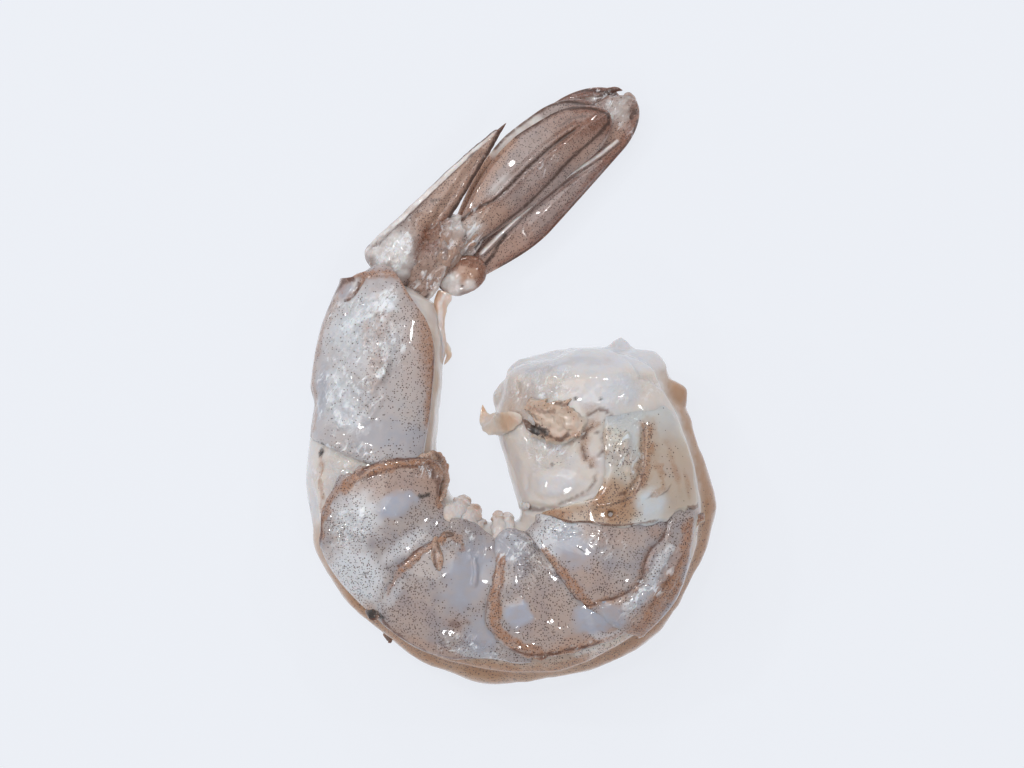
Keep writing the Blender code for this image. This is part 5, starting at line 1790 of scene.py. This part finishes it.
JOINTS = (
    Lump(
        "skin_protopod_near", "protopod_near", FAN_FINISH, Slot.FAN, specks=0.55, wrinkle=0.16, rings=90,
        sides=90, centre=(-10.6, 14.4, 7.2), sizes=(4.4, 2.3, 1.3), heading=68,
        paint=coats(
            tan=(Patch(0.45, 90, 3, 2.2, 1, 0.45, 0.3),),
            rim=(Patch(0.82, 60, 1.8, 1.2, 1.2, 0.85, 0.4),
                Stroke((0.04, 60, 0.2, 12, 0.45, 8, 0.7, 20), 0.1, 0.4, 0.8, 0.25)),
            line=(Patch(0.14, 120, 0.3, 0.7, 1, 0.9, 0.4), Patch(0.24, 140, 0.5, 0.2, 1, 0.8, 0.4),
                Stroke((0.04, 50, 0.14, 14, 0.3, 8), 0.04, 0.2, 0.7, 0.1),
                Stroke((0.4, 150, 0.6, 140, 0.75, 130), 0.03, 0.2, 0.4)),
            # The milk stroke is a painted highlight along the ridge of the upper edge.
            milk=(Stroke((0.12, 166, 0.35, 158, 0.6, 146), 0.1, 0.35, 0.7),
                Patch(0.97, 90, 1, 1.4, 1, 0.5, 0.3)),
            crinkle=(Patch(0.4, 90, 4, 2.2, 1, 0.7, 0.3),),
        ),
        relief=((0.3, Stroke((0.12, 166, 0.35, 156, 0.6, 144, 0.85, 130), 0.1, 0.4)),
            (-0.25, Stroke((0.3, 60, 0.5, 110, 0.7, 120), 0.05, 0.5, 1, 0.2)),
            (0.25, Patch(0.55, 70, 0.7, 0.6, 1))),
    ),
    Lump(
        "skin_protopod_far", "protopod_far", FAN_FINISH, Slot.FAN, specks=0.8, rings=40, sides=40,
        centre=(-10.2, 14.9, 3.2), sizes=(3.6, 2.2, 1.6), heading=62,
    ),
    Lump(
        "tail_joint", "flesh", FAN_FINISH, Slot.FLESH, specks=0.3, wrinkle=0.25, rings=110, sides=110,
        centre=(-10, 16.3, 5.6), sizes=(5.6, 3.6, 2.6), heading=54,
        paint=coats(
            tan=(Patch(0.5, 90, 5, 3.6, 1, 0.6, 0.2),),
            rim=(Patch(0.5, 60, 2.6, 1.6, 1.2, 0.95, 0.5), Patch(0.72, 60, 1.8, 1, 1.2, 0.7, 0.5)),
            milk=(Patch(0.88, 110, 2, 2, 1, 0.8, 0.4),),
            crinkle=(Patch(0.6, 90, 5, 3.6, 1, 0.7, 0.2),),
        ),
        relief=((0.5, Stroke((0.4, 120, 0.6, 130, 0.8, 120), 0.15, 0.6, 1, 0.3)),
            (0.4, Stroke((0.6, 60, 0.8, 70, 0.93, 90), 0.15, 0.5, 1, 0.3))),
    ),
    Lump(
        "blade_root", "endopod_near", FAN_FINISH, Slot.FAN, specks=0.15, wrinkle=0.22,
        centre=(-6.6, 18, 5.1), sizes=(3.8, 2.6, 1.3), heading=46,
        paint=coats(
            milk=(Patch(0.25, 100, 2.2, 2, 1.2, 0.8, 0.4),
                Stroke((0.2, 150, 0.5, 165, 0.8, 160), 0.2, 0.5, 0.8, 0.2)),
            tan=(Patch(0.7, 90, 2.8, 2.4, 1, 0.8, 0.3),),
            crinkle=(Patch(0.45, 90, 3.6, 2.6, 1, 1, 0.2),),
            line=(Stroke((0.55, 150, 0.75, 140, 0.93, 110), 0.08, 0.25),
                Stroke((0.6, 60, 0.8, 50, 0.95, 60), 0.05, 0.2, 0.7)),
            rim=(Patch(0.6, 60, 1.6, 0.8, 1.2, 0.6, 0.4),),
        ),
        relief=((0.35, Stroke((0.3, 110, 0.55, 120, 0.8, 115), 0.1, 0.4, 1, 0.3)),),
    ),
    Lump(
        "skin_protopod_lobe", "protopod_lobe", FAN_FINISH, Slot.FAN, specks=0.15, wrinkle=0.08, rings=90,
        sides=90, centre=(-6.2, 13.5, 5.8), sizes=(3.2, 2.3, 1.3), heading=22,
        paint=coats(
            tan=(Patch(0.62, 80, 2.6, 2.6, 1, 0.9, 0.3),),
            rim=(Stroke((0.32, 34, 0.46, 36, 0.6, 42, 0.72, 56, 0.8, 84, 0.78, 116, 0.7, 140),
                    0.4, 0.7, 0.95, 0.35),
                Stroke((0.25, 25, 0.45, 12, 0.7, 10, 0.88, 20, 0.97, 90, 0.9, 160, 0.7, 172),
                    0.35, 0.5, 1, 0.3)),
            milk=(Patch(0.3, 105, 1.5, 1.8, 0.6, 1, 0.2), Patch(0.52, 128, 1.4, 0.7, 0.9, 0.8, 0.3)),
            line=(Stroke((0.12, 20, 0.05, 60, 0.05, 110, 0.12, 160), 0.12, 0.14, 1, 0.06),
                Stroke((0.3, 5, 0.6, 2, 0.88, 5), 0.05, 0.2, 0.9, 0.06),
                Patch(0.45, 120, 0.2, 0.15, 0.8, 0.9, 0.2)),
        ),
        relief=((0.2, Stroke((0.25, 25, 0.45, 14, 0.7, 12, 0.88, 20), 0.1, 0.5, 1, 0.1)),),
    ),
)


Spine = tuple[tuple[float, float, float], ...]


def shred(name: str, spine: Spine, widths: tuple[float, ...], **more: float | bool | Paint) -> Shred:
    """A torn bit on the flesh.

    Args:
        name: The bit's name.
        spine: Its places.
        widths: Half widths along it, in mm.
        **more: Any other field.

    Returns:
        The bit.
    """
    grid = {"rings": 34, "sides": 32, "wrinkle": 0.07}
    return Shred(name, "flesh", SHRED_FINISH, Slot.FLESH, spine=spine, widths=widths, **(grid | more))


BROWN: Paint = coats(
    rim=(Patch(0.5, 90, 6, 6, 0.4, 0.85),),
    line=(Patch(0.6, 60, 1.4, 0.3, 1.2, 0.8, 0.5), Patch(0.3, 120, 1, 0.3, 1.2, 0.7, 0.5)),
    crinkle=(Patch(0.5, 90, 6, 6, 0.4, 0.25),),
)
DARK: Paint = coats(line=(Patch(0.5, 90, 6, 6, 0.4, 0.9),), soot=(Patch(0.5, 90, 0.8, 0.8, 1.2, 1, 0.6),))
BROWN_TIP: Paint = coats(
    tan=(Patch(0.7, 90, 1.6, 1.6, 1, 0.7, 0.4),),
    rim=(Patch(0.85, 70, 0.9, 0.8, 1, 1, 0.5),),
    line=(Patch(0.95, 60, 0.4, 0.5, 1.2, 0.8, 0.5),),
    milk=(Patch(0.3, 90, 1.6, 1.6, 1, 0.7, 0.3),),
    crinkle=(Patch(0.5, 90, 3, 3, 0.4, 0.5),),
)
PINK: Paint = coats(
    tan=(Patch(0.6, 60, 1.6, 0.8, 1.2, 0.45, 0.5),),
    milk=(Patch(0.35, 90, 1.8, 1.8, 1, 0.8, 0.3),),
    crinkle=(Patch(0.5, 90, 3, 3, 0.4, 0.5),),
)

SHREDS = (
    shred(
        "neck_flap",
        ((0.78, 134, 0.3), (0.9, 148, 0.6), (0.95, 164, 0.7), (0.9, 176, 1), (0.82, 180, 1.5),
            (0.66, 180, 1.9)),
        (0.8, 1.3, 1.5, 1.2, 0.6, 0.08), thickness=0.3, ragged=0.15, rings=60, sides=44, wrinkle=0.1,
        paint=coats(
            tan=(Patch(0.85, 90, 2, 1.4, 1, 0.6), Patch(0.2, 90, 1.5, 1.2, 1, 0.8, 0.3)),
            milk=(Patch(0.6, 100, 1.4, 1, 1, 0.6),),
        ),
    ),
    shred(
        "neck_grime", ((0.83, 133, 0.35), (0.98, 127, 0.6), (1.1, 120, 0.6), (1.22, 115, 0.4)),
        (0.2, 0.45, 0.35, 0.1), thickness=0.5, ragged=0.5, paint=DARK,
    ),
    shred(
        "corner_curl",
        ((9.96, 128, 0.7), (9.95, 140, 0.8), (9.85, 154, 0.7), (9.45, 170, 0.3), (8.8, 168, 0.1),
            (8.35, 150, 0.6), (8.2, 138, 0.9)),
        (0.15, 0.6, 0.95, 0.9, 0.7, 0.4, 0.1), thickness=0.9, rings=90, sides=50, ragged=0.35, paint=BROWN,
    ),
    shred(
        "rim_lobe", ((7.6, 115, 0.6), (7.44, 108, 1), (7.27, 101, 1.1), (7.13, 95, 0.8)),
        (0.35, 0.5, 0.7, 0.6, 0.1), thickness=0.9, ragged=0.2, paint=BROWN,
    ),
    shred(
        "rim_chain", ((7.5, 116, 0.8), (7.25, 121, 0.9), (7, 122, 0.8), (6.8, 119, 0.9)),
        (0.15, 0.4, 0.25, 0.35), thickness=0.5, ragged=0.8, paint=BROWN,
    ),
    shred(
        "leg_root_a", ((7.55, 130, 0), (7.4, 148, 0.3), (7.3, 166, 0.5), (7.2, 180, 0.6)),
        (1.1, 1.3, 1.2, 0.7), thickness=1.6, ragged=0.3, wrinkle=0.12, paint=PINK,
    ),
    shred(
        "leg_root_b", ((6.9, 128, 0), (6.85, 148, 0.3), (6.75, 166, 0.5), (6.6, 178, 0.6)),
        (0.9, 1.1, 1, 0.5), thickness=1.4, ragged=0.35, wrinkle=0.12, paint=BROWN_TIP,
    ),
    shred(
        "leg_root_c", ((6.5, 140, 0.1), (6.3, 156, 0.2), (6.05, 170, 0)), (0.6, 0.5, 0.2), thickness=0.8,
        ragged=0.4, wrinkle=0.12, paint=PINK,
    ),
    shred(
        "leg_root_d", ((5.4, 132, 0), (5.25, 152, 0.3), (5.15, 170, 0.5), (5.1, 182, 0.7)),
        (0.8, 1, 0.8, 0.4), thickness=1.3, ragged=0.35, wrinkle=0.12, paint=BROWN_TIP,
    ),
    shred(
        "leg_root_e", ((4.8, 140, 0), (4.7, 160, 0.4), (4.6, 182, 0.9)), (0.6, 0.8, 0.6), thickness=1,
        ragged=0.35, wrinkle=0.12, paint=PINK,
    ),
    shred(
        "neck_lip", ((2.25, 150, 0.1), (2.3, 162, 0.1), (2.3, 174, 0)), (0.4, 0.5, 0.2), thickness=0.5,
        ragged=0.4, paint=PINK,
    ),
    shred(
        "belly_shred", ((-8.9, 5.8, 6.9), (-8.2, 4.6, 6.9), (-7.9, 3.6, 6.8), (-8.5, 2.4, 6.7)),
        (0.15, 0.4, 0.35, 0.05), on_body=False, thickness=0.25,
    ),
    shred(
        "belly_strip",
        ((-8.3, 11.6, 6.6), (-8.9, 10, 7), (-9, 7.4, 7.4), (-8.7, 4.8, 7.4), (-8.8, 2.2, 7.2)),
        (1.2, 0.95, 0.55, 0.5, 0.1), on_body=False, thickness=0.6, ragged=0.15, rings=60, sides=40,
        paint=coats(
            milk=(Stroke((0.1, 90, 0.9, 90), 0.12, 0.3, 0.9),),
            tan=(Patch(0.2, 30, 2.4, 1, 1, 0.8), Patch(0.6, 20, 3, 0.4, 1, 0.6)),
        ),
    ),
    shred(
        "back_tuft", ((2.05, 30, 0.5), (2.12, 36, 0.9), (2.25, 40, 0.9)), (0.08, 0.45, 0.06), thickness=0.25,
        ragged=1, paint=BROWN,
    ),
    shred(
        "back_crumbs", ((7.95, 28, 0.5), (7.85, 35, 0.8), (7.72, 42, 0.8)), (0.2, 0.6, 0.2), thickness=0.5,
        ragged=1, paint=DARK,
    ),
    shred(
        "rim_bit", ((-15.9, -31, 7.6), (-15.3, -32, 7.7), (-15.4, -32.4, 7.7)), (0.4, 0.3, 0.15),
        on_body=False, thickness=0.5, ragged=0.5, paint=BROWN,
    ),
    shred(
        "back_crumb", ((5.45, 52, 0.7), (5.2, 54, 0.9), (4.95, 55, 0.8)), (0.12, 0.3, 0.12), thickness=0.4,
        ragged=0.8, paint=BROWN,
    ),
)

FAN_TIPS = (
    Shred(
        "fan_tip_point", "exopod_far", FAN_FINISH, Slot.FAN, on_body=False, thickness=0.4, rings=30,
        sides=30, ragged=0.3,
        spine=((10.5, 35.6, 0.8), (12.6, 36.9, 0.9), (13.9, 36.9, 0.9)),
        widths=(0.5, 0.45, 0.08), paint=BROWN,
    ),
    Shred(
        "fan_tip_corner", "exopod_near", FAN_FINISH, Slot.FAN, on_body=False, thickness=0.5, rings=30,
        sides=30, ragged=0.4, spine=((13.6, 33.4, 3.5), (15, 34.2, 3.5), (15.8, 34, 3.4)),
        widths=(0.7, 0.8, 0.2), paint=BROWN,
    ),
    Shred(
        "fan_tip_fray", "exopod_near", FAN_FINISH, Slot.FAN, on_body=False, thickness=0.3, rings=30,
        sides=30, ragged=0.7, spine=((13.2, 35, 3.2), (14.6, 35.9, 3.2), (15.6, 35.4, 3.2)),
        widths=(0.4, 0.5, 0.1),
    ),
)


# The room


@dataclass(frozen=True)
class Lamp:
    """An area light aimed at the prawn, with its power as a share of full light."""

    name: str
    place: tuple[float, float, float]
    size: float
    share: float
    colour: tuple[float, float, float] = (1.0, 1.0, 1.0)

    def build(self) -> None:
        """Put the light in the scene."""
        data = bpy.data.lights.new(self.name, "AREA")
        data.shape = "DISK"
        data.size = self.size
        distance = math.dist(self.place, (0.0, 0.0, 0.0))
        data.energy = self.share * (math.pi * distance) ** 2
        data.color = self.colour
        lamp = bpy.data.objects.new(self.name, data)
        lamp.location = self.place
        aim = -lamp.location.normalized()
        lamp.rotation_mode = "QUATERNION"
        lamp.rotation_quaternion = aim.to_track_quat("-Z", "Y")
        bpy.context.scene.collection.objects.link(lamp)


@dataclass(frozen=True)
class Studio:
    """The pale floor, the soft light and the camera straight above."""

    floor_size: float = 3.0
    backdrop: tuple[int, int, int] = (238, 241, 247)
    floor_glow: float = 0.86
    sky_share: float = 0.50
    picture_width: float = 0.128
    lens: float = 400.0
    sensor: float = 36.0
    focus_height: float = 0.008
    lamps: tuple[Lamp, ...] = (
        Lamp("overhead", (-0.25, 0.35, 0.9), 0.6, 0.15),
        Lamp("glint_left", (-0.45, 0.28, 0.60), 0.055, 0.09),
        Lamp("glint_right", (0.40, 0.30, 0.60), 0.045, 0.05),
        Lamp("glint_low", (-0.12, -0.50, 0.55), 0.045, 0.05),
        Lamp("glint_side", (-0.62, -0.10, 0.45), 0.045, 0.05),
        Lamp("glint_back", (0.10, 0.60, 0.50), 0.045, 0.05),
        Lamp("glint_top", (-0.10, 0.14, 0.95), 0.05, 0.06),
        Lamp("glint_front", (0.22, -0.28, 0.85), 0.045, 0.04),
        Lamp("glint_far", (-0.25, 0.75, 0.45), 0.05, 0.04),
    )

    def floor(self) -> None:
        """Lay the floor, pale and mostly shadeless."""
        mesh = bpy.data.meshes.new("floor")
        half = self.floor_size / 2
        corners = [(-half, -half, 0.0), (half, -half, 0.0), (half, half, 0.0), (-half, half, 0.0)]
        mesh.from_pydata(corners, [], [(0, 1, 2, 3)])
        floor = bpy.data.objects.new("floor", mesh)
        bpy.context.scene.collection.objects.link(floor)
        paint = bpy.data.materials.new("pale_floor")
        paint.use_nodes = True
        shader = paint.node_tree.nodes["Principled BSDF"]
        colour = tone(*self.backdrop)
        settings = {
            "Base Color": (*[value * (1 - self.floor_glow) for value in colour[:3]], 1.0),
            "Roughness": 1.0,
            "Specular IOR Level": 0.0,
            "Emission Color": colour,
            "Emission Strength": self.floor_glow,
        }
        for label, value in settings.items():
            shader.inputs[label].default_value = value
        mesh.materials.append(paint)

    def sky(self) -> None:
        """Light everything softly from all round."""
        world = bpy.data.worlds.new("soft_room")
        world.use_nodes = True
        background = world.node_tree.nodes["Background"]
        background.inputs["Color"].default_value = tone(*self.backdrop)
        background.inputs["Strength"].default_value = self.sky_share
        bpy.context.scene.world = world

    def camera(self) -> None:
        """Hang the camera straight above the prawn."""
        data = bpy.data.cameras.new("camera")
        data.lens = self.lens
        data.sensor_width = self.sensor
        camera = bpy.data.objects.new("camera", data)
        height = self.picture_width * self.lens / self.sensor + self.focus_height
        camera.location = (ORIGIN_SHIFT[0] * MM, ORIGIN_SHIFT[1] * MM, height)
        bpy.context.scene.collection.objects.link(camera)
        bpy.context.scene.camera = camera

    def build(self) -> None:
        """Set up the room."""
        self.camera()
        self.floor()
        self.sky()
        for lamp in self.lamps:
            lamp.build()
        bpy.context.scene.view_settings.view_transform = "Standard"


def main() -> None:
    """Build the prawn and the room round it."""
    logging.basicConfig(level=logging.INFO, format="%(name)s: %(message)s")
    Studio().build()
    pieces = [Muscle().build()]
    for plate in PLATES:
        pieces += [plate.build(side) for side in (1, -1)]
    makers = (TailRing(), NeckMembrane(), TELSON, *BLADES, *JOINTS, *SHREDS, *FAN_TIPS)
    pieces += [maker.build() for maker in makers]
    for piece in pieces:
        piece.place()


if __name__ == "__main__":
    main()
